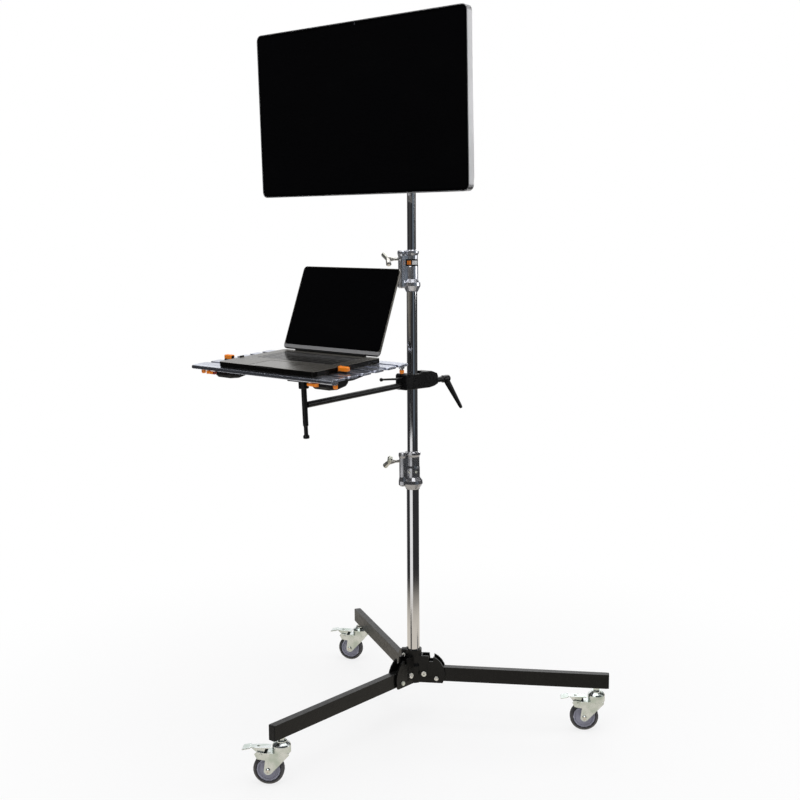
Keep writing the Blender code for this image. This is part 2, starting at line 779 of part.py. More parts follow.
def fork_axle(half):
    """The axle bolt across the fork, with a head at each side."""
    head = [(0.0, half + AXLE_HEAD), (AXLE_HEAD_RADIUS - EDGE, half + AXLE_HEAD),
            (AXLE_HEAD_RADIUS, half + AXLE_HEAD - EDGE), (AXLE_HEAD_RADIUS, half - JOIN),
            (AXLE_RADIUS, half - JOIN)]
    return along_y(turned(mirrored(head), TINY_ROUND))


def caster_fork():
    """The fork: a dome over the bearing, a top plate, two winged side plates and the axle."""
    floor = -CASTER_HEIGHT
    top = FORK_TOP + floor
    inner = HUB_HALF_WIDTH + SEAT
    half = inner + FORK_PLATE
    dome_top = -NUT_HEIGHT - RACE_HEIGHT - JOIN - RUNNING
    dome = turned([(0.0, dome_top), (DOME_RADIUS - DOME_SHOULDER, dome_top),
                   (DOME_RADIUS - 2 * EDGE, dome_top - 4 * EDGE), (DOME_RADIUS, dome_top - DOME_SHOULDER),
                   (DOME_RADIUS, top - JOIN), (0.0, top - JOIN)], 18)
    outline = arc(0.0, 0.0, DOME_RADIUS - EDGE, 130.0, 230.0, 4)
    outline += [(CASTER_TRAIL + 2 * EDGE, -half), (CASTER_TRAIL + 2 * EDGE, half)]
    add = [moved(plate(outline, FORK_PLATE), (0.0, 0.0, top - FORK_PLATE / 2))]
    for side in (-1, 1):
        wall = upright(plate(fork_side_outline(), FORK_PLATE))
        add.append(moved(wall, (0.0, side * (inner + FORK_PLATE / 2), 0.0)))
    add.append(moved(fork_axle(half), (CASTER_TRAIL, 0.0, floor + WHEEL_RADIUS)))
    stem_hole = rod(STEM_RADIUS + RUNNING, top - PAST, dome_top + PAST, TINY_ROUND)
    pin_hole = along_y(rod(PEDAL_PIN_RADIUS + SEAT, -half - PAST, half + PAST, 8))
    pin_hole = moved(pin_hole, (PEDAL_PIVOT_X, 0.0, PEDAL_PIVOT_Z + floor))
    return combined(dome, add, [stem_hole, pin_hole])


def brake_pedal():
    """The brake pedal in the frame of its pin, pointing along +X."""
    neck = PEDAL_TIP - PEDAL_PIVOT_X - PEDAL_PAD
    shoulder = neck - PEDAL_HALF_WIDTH
    deck_outline = [(-PEDAL_BACK, -PEDAL_HALF_WIDTH), (shoulder, -PEDAL_HALF_WIDTH),
                    (neck, -PEDAL_NECK_HALF_WIDTH), (neck + 3 * EDGE, -PEDAL_NECK_HALF_WIDTH),
                    (neck + 3 * EDGE, PEDAL_NECK_HALF_WIDTH), (neck, PEDAL_NECK_HALF_WIDTH),
                    (shoulder, PEDAL_HALF_WIDTH), (-PEDAL_BACK, PEDAL_HALF_WIDTH)]
    deck = moved(plate(deck_outline, PEDAL_SHEET), (0.0, 0.0, PEDAL_DECK))
    pad = moved(box((PEDAL_PAD + EDGE, PEDAL_PAD_WIDTH, PEDAL_SHEET + 2 * JOIN), bevel=EDGE),
                (neck + PEDAL_PAD / 2, 0.0, PEDAL_DECK - 1.5 * EDGE), (0.0, PEDAL_PAD_DROOP, 0.0))
    add = [pad]
    ear_outline = (arc(0.0, 0.0, PEDAL_EAR, 180.0, 360.0, 4)
                   + [(4 * PEDAL_EAR, PEDAL_DECK - 2 * EDGE), (4 * PEDAL_EAR, PEDAL_DECK),
                      (-2 * PEDAL_EAR, PEDAL_DECK)])
    for side in (-1, 1):
        ear = upright(plate(ear_outline, PEDAL_SHEET))
        add.append(moved(ear, (0.0, side * (PEDAL_HALF_WIDTH - PEDAL_SHEET / 2 - SEAT / 2), 0.0)))
    pin_half = HUB_HALF_WIDTH + SEAT + FORK_PLATE + EDGE
    add.append(along_y(rod(PEDAL_PIN_RADIUS, -pin_half, pin_half, 8)))
    window = moved(rod(PEDAL_WINDOW, -PAST, PAST, 8), (neck - PEDAL_PAD, 0.0, PEDAL_DECK))
    return combined(deck, add, [window])


def wheel_tyre():
    """The tyre about Y, with a flat of its outline facing straight down."""
    outer = WHEEL_RADIUS / cos(pi / ROUND)
    half = TYRE_WIDTH / 2
    side = [(WHEEL_RADIUS - TYRE_DEPTH, half - 3 * EDGE), (outer - TYRE_SHOULDER, half),
            (outer, half - TYRE_SHOULDER)]
    ring = turned(mirrored(side), closed=True)
    return along_y(moved(ring, turn=(0.0, 0.0, 180.0 / ROUND)))


def wheel_core():
    """The wheel's moulded centre about Y: hub, dished web and rim."""
    rim = (WHEEL_RADIUS - TYRE_DEPTH) * cos(pi / ROUND) - SEAT
    half = TYRE_WIDTH / 2 - 3 * EDGE
    side = [(AXLE_RADIUS + RUNNING, HUB_HALF_WIDTH), (HUB_RADIUS, HUB_HALF_WIDTH),
            (HUB_RADIUS + EDGE, WEB_HALF_WIDTH), (rim - 5 * EDGE, WEB_HALF_WIDTH),
            (rim - 3 * EDGE, half), (rim, half)]
    return along_y(turned(mirrored(side), SMALL_ROUND, closed=True))


# Column

def column_tube(radius, bottom, top):
    inner = radius - TUBE_WALL
    return turned([(radius, top), (radius, bottom), (inner, bottom), (inner, top)], closed=True)


def top_tube():
    """The top tube, closed by a plug with a mounting pin that has a grooved neck."""
    bottom = TOP_TOP - TOP_LENGTH
    inner = TOP_RADIUS - TUBE_WALL
    tip = TOP_TOP + PIN_LENGTH
    groove = PIN_RADIUS - GROOVE_DEPTH
    groove_end = GROOVE_START + GROOVE_LENGTH
    profile = [(0.0, tip), (PIN_RADIUS - EDGE, tip), (PIN_RADIUS, tip - EDGE),
               (PIN_RADIUS, tip - GROOVE_START), (groove, tip - GROOVE_START - GROOVE_DEPTH),
               (groove, tip - groove_end + GROOVE_DEPTH), (PIN_RADIUS, tip - groove_end),
               (PIN_RADIUS, TOP_TOP), (TOP_RADIUS - EDGE, TOP_TOP), (TOP_RADIUS, TOP_TOP - EDGE),
               (TOP_RADIUS, bottom), (inner, bottom), (inner, TOP_TOP - PLUG_LENGTH),
               (0.0, TOP_TOP - PLUG_LENGTH)]
    return turned(profile, MEDIUM_ROUND)


def collar(height, tube_below, tube_above, seat_depth, flare):
    """A clamping collar about Z from its bottom rim, with its screw barrel towards +X."""
    skin = tube_above + COLLAR_WALL
    waist = tube_below + COLLAR_LIP
    wide = tube_below + flare
    profile = [(0.0, height), (skin - 2 * EDGE, height), (skin + COLLAR_LIP, height - COLLAR_LIP),
               (skin + COLLAR_LIP, height - 3 * COLLAR_LIP), (skin, height - 5 * COLLAR_LIP),
               (skin, height - COLLAR_NECK), (waist, height - COLLAR_NECK - 2 * COLLAR_LIP),
               (waist, COLLAR_FOOT + 6 * COLLAR_LIP), (wide - EDGE, COLLAR_FOOT + 3 * COLLAR_LIP),
               (wide, COLLAR_FOOT), (waist, COLLAR_LIP), (waist - EDGE, 0.0), (0.0, 0.0)]
    body = turned(profile, MEDIUM_ROUND)
    lip = COLLAR_BARREL + BARREL_LIP
    barrel_profile = [(0.0, height - EDGE), (COLLAR_BARREL, height - 2 * EDGE), (lip, height - 5 * EDGE),
                      (lip, height - 11 * EDGE), (COLLAR_BARREL, height - 17 * EDGE),
                      (COLLAR_BARREL, BARREL_FOOT + 26 * EDGE), (lip, BARREL_FOOT + 14 * EDGE),
                      (lip, BARREL_FOOT + 4 * EDGE), (COLLAR_BARREL - 2 * EDGE, BARREL_FOOT),
                      (0.0, BARREL_FOOT)]
    barrel = moved(turned(barrel_profile, 14), (BARREL_OFFSET, 0.0, 0.0))
    web_height = height - 34 * EDGE
    web = box((BARREL_OFFSET, COLLAR_WEB, web_height), (BARREL_OFFSET / 2, 0.0, height / 2 + 2 * EDGE))
    bore = turned([(0.0, height + PAST), (tube_above + SEAT, height + PAST),
                   (tube_above + SEAT, seat_depth + SEAT), (tube_below + SEAT, seat_depth + SEAT),
                   (tube_below + SEAT, -PAST), (0.0, -PAST)], MEDIUM_ROUND)
    screw_hole = along_x(rod(T_SCREW_RADIUS + SEAT, 0.0, 2 * BARREL_OFFSET, 12))
    return combined(body, [barrel, web],
                    [bore, moved(screw_hole, (0.0, 0.0, height - T_SCREW_DROP))])


def t_handle(tube_radius):
    """A T-handled screw along X, from just off the tube out through a cone to its lobed bar."""
    face = BARREL_OFFSET + COLLAR_BARREL + BARREL_LIP + SEAT
    shank = turned([(0.0, T_BAR_OFFSET), (T_CONE_RADIUS, T_BAR_OFFSET),
                    (T_CONE_RADIUS - EDGE, T_BAR_OFFSET - 5 * EDGE),
                    (T_SCREW_RADIUS + EDGE, T_BAR_OFFSET - T_CONE),
                    (T_SCREW_RADIUS, T_BAR_OFFSET - T_CONE - 2 * EDGE), (T_SCREW_RADIUS, face),
                    (T_SCREW_RADIUS, tube_radius + SEAT), (0.0, tube_radius + SEAT)], 12)
    half = T_BAR_LENGTH / 2
    bar = tube([(T_BAR_SWEEP, 0.0, -half, 0.6), (T_BAR_SWEEP - EDGE, 0.0, -half + 3 * EDGE, 1.15),
                (T_BAR_SWEEP / 2, 0.0, -half / 2, 1.05), (0.0, 0.0, 0.0, 0.95),
                (T_BAR_SWEEP / 2, 0.0, half / 2, 1.05), (T_BAR_SWEEP - EDGE, 0.0, half - 3 * EDGE, 1.15),
                (T_BAR_SWEEP, 0.0, half, 0.6)], T_BAR_RADIUS)
    return combined(along_x(shank), [moved(bar, (T_BAR_OFFSET, 0.0, 0.0))])


# Monitor, in the tilt frame: the glass faces -Y

def monitor_shell():
    """A shallow aluminium shell: a straight edge band, then a back that swells to a flat."""
    front = -(MONITOR_REACH - TILT_REACH)
    shoulder = MONITOR_EDGE + MONITOR_SHOULDER
    sections = [(0.0, 0.0), (MONITOR_EDGE, 0.0), (shoulder, MONITOR_SHOULDER)]
    swell = MONITOR_DEPTH - shoulder
    for step in range(1, 5):
        angle = radians(18.0 * step + 10.0)
        sections.append((shoulder + swell * sin(angle) ** 0.9,
                         MONITOR_SHOULDER + MONITOR_SWELL_INSET * (1 - cos(angle))))
    sections.append((MONITOR_DEPTH, MONITOR_FLAT_INSET))
    work = bmesh.new()
    rings = []
    for depth, inset in sections:
        corner = MONITOR_CORNER + inset * 0.30
        outline = rounded_rectangle(MONITOR_WIDTH - 2 * inset, MONITOR_HEIGHT - 2 * inset, corner)
        rings.append([work.verts.new((x, front + depth, z)) for x, z in outline])
    for lower, upper in zip(rings, rings[1:]):
        for index in range(len(lower)):
            following = (index + 1) % len(lower)
            work.faces.new((lower[index], lower[following], upper[following], upper[index]))
    work.faces.new(rings[-1])
    bmesh.ops.recalc_face_normals(work, faces=work.faces)
    mesh = bpy.data.meshes.new("shell")
    work.to_mesh(mesh)
    work.free()
    blank = bpy.data.objects.new("shell", mesh)
    WORK.objects.link(blank)
    wall = blank.modifiers.new("wall", "SOLIDIFY")
    wall.thickness = MONITOR_WALL
    wall.offset = -1.0
    return baked(blank)


def monitor_glass():
    edge = 2 * (MONITOR_WALL + SEAT)
    outline = rounded_rectangle(MONITOR_WIDTH - edge, MONITOR_HEIGHT - edge,
                                MONITOR_CORNER - MONITOR_WALL)
    front = -(MONITOR_REACH - TILT_REACH)
    return moved(upright(plate(outline, GLASS)), (0.0, front + GLASS / 2 + GLASS_SET_BACK, 0.0))


def mount_plate():
    """The square plate on the monitor's back, with two ears for the tilt pin."""
    back = -(MONITOR_REACH - TILT_REACH) + MONITOR_DEPTH + SEAT
    outline = rounded_rectangle(MOUNT_SIZE, MOUNT_SIZE, MOUNT_CORNER, 2)
    base = moved(upright(plate(outline, MOUNT_PLATE)), (0.0, back + MOUNT_PLATE / 2, 0.0))
    reach = -back - MOUNT_PLATE + EDGE
    ear_outline = arc(0.0, 0.0, EAR_RADIUS, -70.0, 70.0, 6) + [(-reach, EAR_FOOT), (-reach, -EAR_FOOT)]
    add = []
    for side in (-1, 1):
        ear = sideways(plate(ear_outline, EAR_WIDTH))
        offset = TONGUE_WIDTH / 2 + RUNNING + EAR_WIDTH / 2
        add.append(moved(ear, (side * offset, 0.0, 0.0)))
    cut = [along_x(rod(TILT_PIN_RADIUS + SEAT, -TONGUE_WIDTH, TONGUE_WIDTH, 12))]
    for side_x in (-1, 1):
        for side_z in (-1, 1):
            hole = along_y(rod(MOUNT_HOLE_RADIUS, -PAST, PAST, 8))
            cut.append(moved(hole, (side_x * MOUNT_HOLES / 2, back, side_z * MOUNT_HOLES / 2)))
    return combined(base, add, cut)


def monitor_bracket():
    """The bracket in the pan frame: a sleeve on the column's pin, an arm and the tilt tongue."""
    low = TOP_TOP - MONITOR_Z + SLEEVE_LIFT
    high = low + SLEEVE_HEIGHT
    sleeve = turned([(0.0, high), (SLEEVE_RADIUS - EDGE, high), (SLEEVE_RADIUS, high - EDGE),
                     (SLEEVE_RADIUS, low + EDGE), (SLEEVE_RADIUS - EDGE, low), (0.0, low)], MEDIUM_ROUND)
    arm_length = TILT_REACH - 4 * EDGE
    arm = box((TONGUE_WIDTH, arm_length, TONGUE_HEIGHT), (0.0, -arm_length / 2, 0.0), bevel=2 * EDGE)
    nose = along_x(rod(TONGUE_HEIGHT / 2, -TONGUE_WIDTH / 2, TONGUE_WIDTH / 2))
    pin_half = TONGUE_WIDTH / 2 + RUNNING + EAR_WIDTH + TILT_PIN_END
    pin = along_x(rod(TILT_PIN_RADIUS, -pin_half, pin_half, 12))
    knob_hole = along_y(rod(T_SCREW_RADIUS + SEAT, -2 * SLEEVE_RADIUS, 0.0, 12))
    return combined(sleeve, [arm, moved(nose, (0.0, -TILT_REACH, 0.0)),
                             moved(pin, (0.0, -TILT_REACH, 0.0))],
                    [rod(PIN_RADIUS + SEAT, low - PAST, high + PAST, MEDIUM_ROUND),
                     moved(knob_hole, (0.0, 0.0, low + KNOB_RISE))])


def bracket_knob():
    """The sleeve's locking screw with a fluted knob, along Z from the pin outwards."""
    face = SLEEVE_RADIUS + SEAT
    body = turned([(0.0, face + KNOB_LENGTH), (KNOB_RADIUS - 4 * EDGE, face + KNOB_LENGTH),
                   (KNOB_RADIUS, face + KNOB_LENGTH - 4 * EDGE), (KNOB_RADIUS, face + 8 * EDGE),
                   (T_SCREW_RADIUS + 3 * EDGE, face + EDGE), (T_SCREW_RADIUS + 3 * EDGE, face),
                   (T_SCREW_RADIUS, face), (T_SCREW_RADIUS, PIN_RADIUS + SEAT),
                   (0.0, PIN_RADIUS + SEAT)], 18)
    flutes = []
    for index in range(KNOB_FLUTES):
        angle = 2 * pi * index / KNOB_FLUTES
        reach = KNOB_RADIUS + KNOB_FLUTE_RADIUS * 0.6
        flute = rod(KNOB_FLUTE_RADIUS, face + 6 * EDGE, face + 2 * KNOB_LENGTH, 8)
        flutes.append(moved(flute, (reach * cos(angle), reach * sin(angle), 0.0)))
    return combined(body, cut=flutes)


# Clamp, in the frame on the column's axis at the clamp's height, with its nose towards -Y

def clamp_body():
    """The clamp's frame, open to -X for the tube, with the arm's socket in its nose."""
    outline = [(-CLAMP_FRONT, -CLAMP_BOTTOM), (-CLAMP_FRONT, CLAMP_TOP - 5 * EDGE),
               (5 * EDGE - CLAMP_FRONT, CLAMP_TOP - EDGE), (-MIDDLE_RADIUS - 5 * EDGE, CLAMP_TOP - EDGE),
               (-MIDDLE_RADIUS, CLAMP_TOP - 4 * EDGE), (MIDDLE_RADIUS - 5 * EDGE, CLAMP_TOP - 4 * EDGE),
               (MIDDLE_RADIUS + 3 * EDGE, CLAMP_TOP + EDGE), (0.7 * CLAMP_REAR, CLAMP_TOP),
               (CLAMP_REAR - 4 * EDGE, 0.75 * CLAMP_TOP), (CLAMP_REAR, CLAMP_TOP / 2),
               (CLAMP_REAR, -CLAMP_BOTTOM / 2),
               (CLAMP_REAR - CLAMP_BOTTOM, -CLAMP_BOTTOM + 2 * EDGE), (0.6 * CLAMP_REAR, -CLAMP_BOTTOM - EDGE)]
    block = sideways(plate(outline, 2 * CLAMP_HALF_WIDTH, CLAMP_EDGE))
    side = CLAMP_HALF_WIDTH - CLAMP_SIDE_WALL
    tall = 4 * CLAMP_TOP
    pocket_end = JAW_BACK + JAW_TRAVEL + EDGE
    pocket = box((2 * side + PAST, pocket_end, tall), (-PAST / 2, pocket_end / 2, 0.0))
    grip = MIDDLE_RADIUS + SEAT
    mouth = box((2 * grip, grip, tall), (-grip, -grip / 2 + SEAT, 0.0))
    screw_hole = along_y(rod(SCREW_RADIUS + RUNNING, -CLAMP_REAR - PAST, -CLAMP_HALF_WIDTH))
    socket = along_y(rod(ARM_RADIUS + SEAT, ARM_START - SEAT, CLAMP_FRONT + PAST, MEDIUM_ROUND))
    slot_length = CLAMP_FRONT + PAST - LOCK_SLOT_START
    lock_slot = box((2 * LOCK_SLOT_HALF_WIDTH, slot_length, tall),
                    (0.0, -LOCK_SLOT_START - slot_length / 2, LOCK_SLOT_FLOOR + tall / 2))
    pin_hole = along_x(rod(LOCK_PIN_RADIUS + SEAT, -CLAMP_HALF_WIDTH - PAST, CLAMP_HALF_WIDTH + PAST, 12))
    button = turned([(0.0, BUTTON_HEIGHT), (BUTTON_RADIUS - EDGE, BUTTON_HEIGHT),
                     (BUTTON_RADIUS, BUTTON_HEIGHT - EDGE), (BUTTON_RADIUS, -2 * EDGE), (0.0, -2 * EDGE)], 12)
    return combined(block, [moved(button, (BUTTON_X, BUTTON_Y, CLAMP_TOP - EDGE))],
                    [rod(grip, -tall, tall, ROUND), pocket, mouth, screw_hole,
                     moved(socket, turn=(ARM_DROOP, 0.0, 0.0)), lock_slot,
                     moved(pin_hole, (0.0, -LOCK_PIN_Y, LOCK_PIN_Z))])


def clamp_jaw():
    """The moving jaw, hollowed to the tube, which the screw pushes along -Y."""
    side = CLAMP_HALF_WIDTH - CLAMP_SIDE_WALL - RUNNING
    block = box((2 * side, JAW_BACK - JAW_FRONT, JAW_HEIGHT), (0.0, (JAW_BACK + JAW_FRONT) / 2, JAW_RISE),
                bevel=EDGE)
    return combined(block, cut=[rod(MIDDLE_RADIUS + SEAT, -JAW_HEIGHT, JAW_HEIGHT, ROUND)])


def clamp_handle():
    """The clamping screw with its knuckle and tapered lever, with the screw along Y."""
    hub_start = CLAMP_REAR + SEAT
    waist = hub_start + HANDLE_HUB_RADIUS
    hub = turned([(0.0, HANDLE_HUB_END), (HANDLE_HUB_RADIUS - 3 * EDGE, HANDLE_HUB_END),
                  (HANDLE_HUB_RADIUS, HANDLE_HUB_END - 4 * EDGE),
                  (HANDLE_HUB_RADIUS, HANDLE_HUB_END - 2 * LEVER_SET_BACK),
                  (HANDLE_HUB_WAIST, HANDLE_HUB_END - 2 * LEVER_SET_BACK - 4 * EDGE),
                  (HANDLE_HUB_WAIST, waist + 3 * EDGE), (HANDLE_HUB_RADIUS, waist),
                  (HANDLE_HUB_RADIUS, hub_start), (SCREW_RADIUS, hub_start),
                  (SCREW_RADIUS, JAW_BACK + SEAT), (0.0, JAW_BACK + SEAT)], SMALL_ROUND)
    hub = moved(hub, turn=(-90.0, 0.0, 0.0))
    angle = radians(LEVER_ANGLE)
    points = []
    for share, width in ((0.0, 1.0), (0.15, 1.0), (0.5, 0.82), (0.92, 0.6), (0.98, 0.5), (1.0, 0.3)):
        reach = LEVER_LENGTH * share
        points.append((reach * cos(angle), HANDLE_HUB_END - LEVER_SET_BACK + LEVER_SPLAY * reach,
                       reach * sin(angle), width))
    return combined(hub, [tube(points, LEVER_RADIUS)])


def arm_lock_lever():
    """The cam lever in the nose's slot, about its pin along X, with a long finger over the arm."""
    width = 2 * (LOCK_SLOT_HALF_WIDTH - RUNNING)
    cam = along_x(rod(LOCK_CAM_RADIUS, -width / 2, width / 2))
    half = CLAMP_HALF_WIDTH - EDGE
    pin = along_x(rod(LOCK_PIN_RADIUS, -half, half, 12))
    tip_y = LOCK_PIN_Y - LOCK_TIP_Y
    tip_z = LOCK_TIP_Z - LOCK_PIN_Z
    knob = LOCK_KNOB_RADIUS / LOCK_FINGER_RADIUS
    finger = tube([(0.0, -EDGE, -2 * EDGE, 1.0), (0.0, -2 * LOCK_CAM_RADIUS, -4 * EDGE, 1.2),
                   (0.0, -4 * LOCK_CAM_RADIUS, -3 * EDGE, 1.0), (0.0, tip_y + 8 * EDGE, tip_z, 0.9),
                   (0.0, tip_y + 5 * EDGE, tip_z, knob), (0.0, tip_y + EDGE, tip_z, knob),
                   (0.0, tip_y, tip_z, 0.8)], LOCK_FINGER_RADIUS)
    return combined(cam, [pin, finger])


# Arm and post, in the frame that droops about the column's axis

def support_arm():
    end = ARM_REACH - POST_RADIUS - SEAT
    return along_y(turned([(0.0, end), (ARM_RADIUS, end), (ARM_RADIUS, ARM_START + EDGE),
                           (ARM_RADIUS - EDGE, ARM_START), (0.0, ARM_START)], MEDIUM_ROUND))


def support_post():
    """The upright pin through the tray's receiver, with a grooved neck and a round foot."""
    top = TRAY_RISE - POST_TOP_DROP
    low = -POST_DROP
    neck_top = low + POST_NECK_TOP
    neck_low = low + POST_FOOT
    return turned([(0.0, top), (POST_RADIUS - EDGE, top), (POST_RADIUS, top - EDGE),
                   (POST_RADIUS, neck_top), (POST_NECK_RADIUS, neck_top - 3 * EDGE),
                   (POST_NECK_RADIUS, neck_low + 3 * EDGE), (POST_FOOT_RADIUS, neck_low),
                   (POST_FOOT_RADIUS, low + EDGE), (POST_FOOT_RADIUS - EDGE, low), (0.0, low)], SMALL_ROUND)


# Tray, in its own plane

def tray_underside():
    return -SLAT_THICKNESS - CROSS_BAR_THICKNESS


def tray_deck():
    """Round-ended slats on three cross bars, as one riveted deck behind the front rail."""
    start = -TRAY_DEPTH / 2 + RAIL_DEPTH + SEAT
    pitch = (TRAY_DEPTH / 2 - start + SLAT_GAP) / SLAT_COUNT
    width = pitch - SLAT_GAP
    slats = []
    for index in range(SLAT_COUNT):
        slat = plate(rounded_rectangle(TRAY_WIDTH, width, SLAT_CORNER, 2), SLAT_THICKNESS)
        softened(slat, EDGE, lambda low, high: low > 0.0)
        slats.append(moved(slat, (0.0, start + width / 2 + index * pitch, -SLAT_THICKNESS / 2)))
    bars = []
    bar_length = TRAY_DEPTH / 2 - start
    for x in (-TRAY_WIDTH / 2 + CROSS_BAR_INSET, 0.0, TRAY_WIDTH / 2 - CROSS_BAR_INSET):
        bars.append(box((CROSS_BAR, bar_length - 2 * EDGE, CROSS_BAR_THICKNESS + EDGE),
                        (x, start + bar_length / 2, tray_underside() + (CROSS_BAR_THICKNESS + EDGE) / 2)))
    return combined(slats[0], slats[1:] + bars)


def tray_front_rail():
    """The extruded front rail, with a round nose."""
    y = -TRAY_DEPTH / 2
    nose = arc(y + RAIL_NOSE, -RAIL_HEIGHT / 2, RAIL_NOSE, 250.0, 110.0, 6)
    outline = nose + [(y + RAIL_DEPTH, 0.0), (y + RAIL_DEPTH, -RAIL_HEIGHT)]
    return sideways(plate(outline, TRAY_WIDTH))


def tray_receiver():
    """The socket under the deck that sits on the post, in the swivel frame of the post."""
    top = TRAY_RISE - EDGE
    low = TRAY_RISE - RECEIVER_DROP
    body = turned([(0.0, top), (RECEIVER_RADIUS, top), (RECEIVER_RADIUS, low + EDGE),
                   (RECEIVER_RADIUS - EDGE, low), (0.0, low)], MEDIUM_ROUND)
    head_low = TRAY_RISE - RECEIVER_PLATE_DROP
    head = box((RECEIVER_PLATE, RECEIVER_PLATE, TRAY_RISE - head_low),
               (0.0, 0.0, (TRAY_RISE + head_low) / 2), bevel=3 * EDGE)
    bore = rod(POST_RADIUS + SEAT, 0.0, TRAY_RISE - POST_TOP_DROP + 2 * EDGE, MEDIUM_ROUND)
    trim = box((4 * RECEIVER_PLATE, 4 * RECEIVER_PLATE, RECEIVER_PLATE),
               (-TRAY_X, -TRAY_Y, RECEIVER_PLATE / 2 - SLAT_THICKNESS - SEAT))
    trim.transform(tray_matrix())
    return combined(body, [head], [bore, trim])


def tray_matrix():
    """The tray's plane in the post's frame."""
    shift = Matrix.Translation((TRAY_X, TRAY_Y, TRAY_RISE))
    for axis, angle in (("Z", TRAY_HEADING), ("Y", TRAY_ROLL), ("X", TRAY_PITCH)):
        shift = shift @ Matrix.Rotation(radians(angle), 4, axis)
    return shift


def corner_stud():
    """The bright stud with a coloured cap under a corner of the tray, along Z from the slats."""
    low = -SLAT_THICKNESS - SEAT
    return turned([(0.0, low), (STUD_RADIUS - EDGE, low), (STUD_RADIUS, low - EDGE),
                   (STUD_RADIUS, low - 6 * EDGE), (STUD_NECK_RADIUS, low - 7 * EDGE),
                   (STUD_NECK_RADIUS, low - 9 * EDGE), (STUD_CAP_RADIUS, low - 10 * EDGE),
                   (STUD_CAP_RADIUS, low - STUD_HEIGHT + 3 * EDGE),
                   (STUD_NECK_RADIUS, low - STUD_HEIGHT), (0.0, low - STUD_HEIGHT)], 12)


def cam_lever():
    """The small cam lever under the front rail, along X from its pin."""
    low = -RAIL_HEIGHT - SEAT
    base = rod(CAM_RADIUS, low - CAM_HEIGHT, low, 12)
    grip = box((CAM_GRIP, 2 * CAM_RADIUS - EDGE, CAM_HEIGHT - EDGE),
               (CAM_GRIP / 2 - EDGE, 0.0, low - CAM_HEIGHT / 2 - JOIN), bevel=2 * EDGE)
    return combined(base, [grip])


def accessory_pod():
    """A moulded pod under the deck: a deep front body and a slim rear foot, from its front face."""
    top = -SLAT_THICKNESS - SEAT
    deep = top - POD_HEIGHT
    belly = [(0.0, top), (0.0, deep + POD_ROUNDING), (POD_ROUNDING, deep + EDGE),
             (POD_LENGTH / 2, deep - 2 * EDGE), (POD_LENGTH - POD_ROUNDING, deep + 2 * EDGE),
             (POD_LENGTH, deep + POD_ROUNDING), (POD_LENGTH, top)]
    body = sideways(plate(belly, POD_WIDTH))
    softened(body, 0.7 * POD_ROUNDING, lambda low, high: low < top - EDGE, 2)
    end = POD_LENGTH + POD_FOOT_LENGTH
    under = top - POD_FOOT_HEIGHT
    foot_outline = [(POD_LENGTH - POD_ROUNDING, top - EDGE), (POD_LENGTH - POD_ROUNDING, under),
                    (POD_LENGTH + 0.3 * POD_FOOT_LENGTH, under - EDGE),
                    (POD_LENGTH + 0.75 * POD_FOOT_LENGTH, under + 3 * EDGE),
                    (end, top - 0.4 * POD_FOOT_HEIGHT), (end - EDGE, top - EDGE)]
    foot = sideways(plate(foot_outline, POD_FOOT_WIDTH, 2 * EDGE))
    return combined(body, [foot])


# Laptop, in the tray's plane about the middle of its base

def case_outline(inset):
    return rounded_rectangle(LAPTOP_WIDTH - 2 * inset, LAPTOP_DEPTH - 2 * inset,
                             LAPTOP_CORNER - inset, 3)


def laptop_case():
    """The upper case: an open-bottomed shell with a keyboard well, keys and a hinge trough."""
    low = SEAT + COVER + SEAT
    top = LAPTOP_THICKNESS
    outside = moved(plate(case_outline(0.0), top - low), (0.0, 0.0, (top + low) / 2))
    hollow_depth = LAPTOP_DEPTH - CASE_WALL - CASE_REAR
    hollow = box((LAPTOP_WIDTH - 2 * CASE_SIDE, hollow_depth, top - CASE_TOP),
                 (0.0, (CASE_WALL - CASE_REAR) / 2, (top - CASE_TOP) / 2))
    well_x = KEY_COLUMNS * KEY_PITCH + 2 * WELL_MARGIN
    well_y = KEY_ROWS * KEY_DEPTH_PITCH + 2 * WELL_MARGIN
    well_centre = LAPTOP_DEPTH / 2 - WELL_REAR - well_y / 2
    well = box((well_x, well_y, 4 * EDGE), (0.0, well_centre, top + 2 * EDGE - WELL_DEPTH))
    pad = box((PAD_WIDTH, PAD_DEPTH, EDGE),
              (0.0, (PAD_DEPTH - LAPTOP_DEPTH) / 2 + PAD_INSET, top + EDGE / 2 - PAD_SINK))
    scoop = along_x(rod(SCOOP_RADIUS, -SCOOP_WIDTH / 2, SCOOP_WIDTH / 2, 12))
    scoop = moved(scoop, (0.0, -LAPTOP_DEPTH / 2 - 2 * EDGE, top + SCOOP_RADIUS / 2))
    half_trough = HINGE_WIDTH / 2 + RUNNING
    trough = along_x(rod(HINGE_RADIUS + RUNNING, -half_trough, half_trough))
    trough = moved(trough, (0.0, LAPTOP_DEPTH / 2 - HINGE_INSET, hinge_height()))
    shell = combined(outside, cut=[hollow, well, pad, scoop, trough])
    return combined(shell, [keyboard(well_centre)])


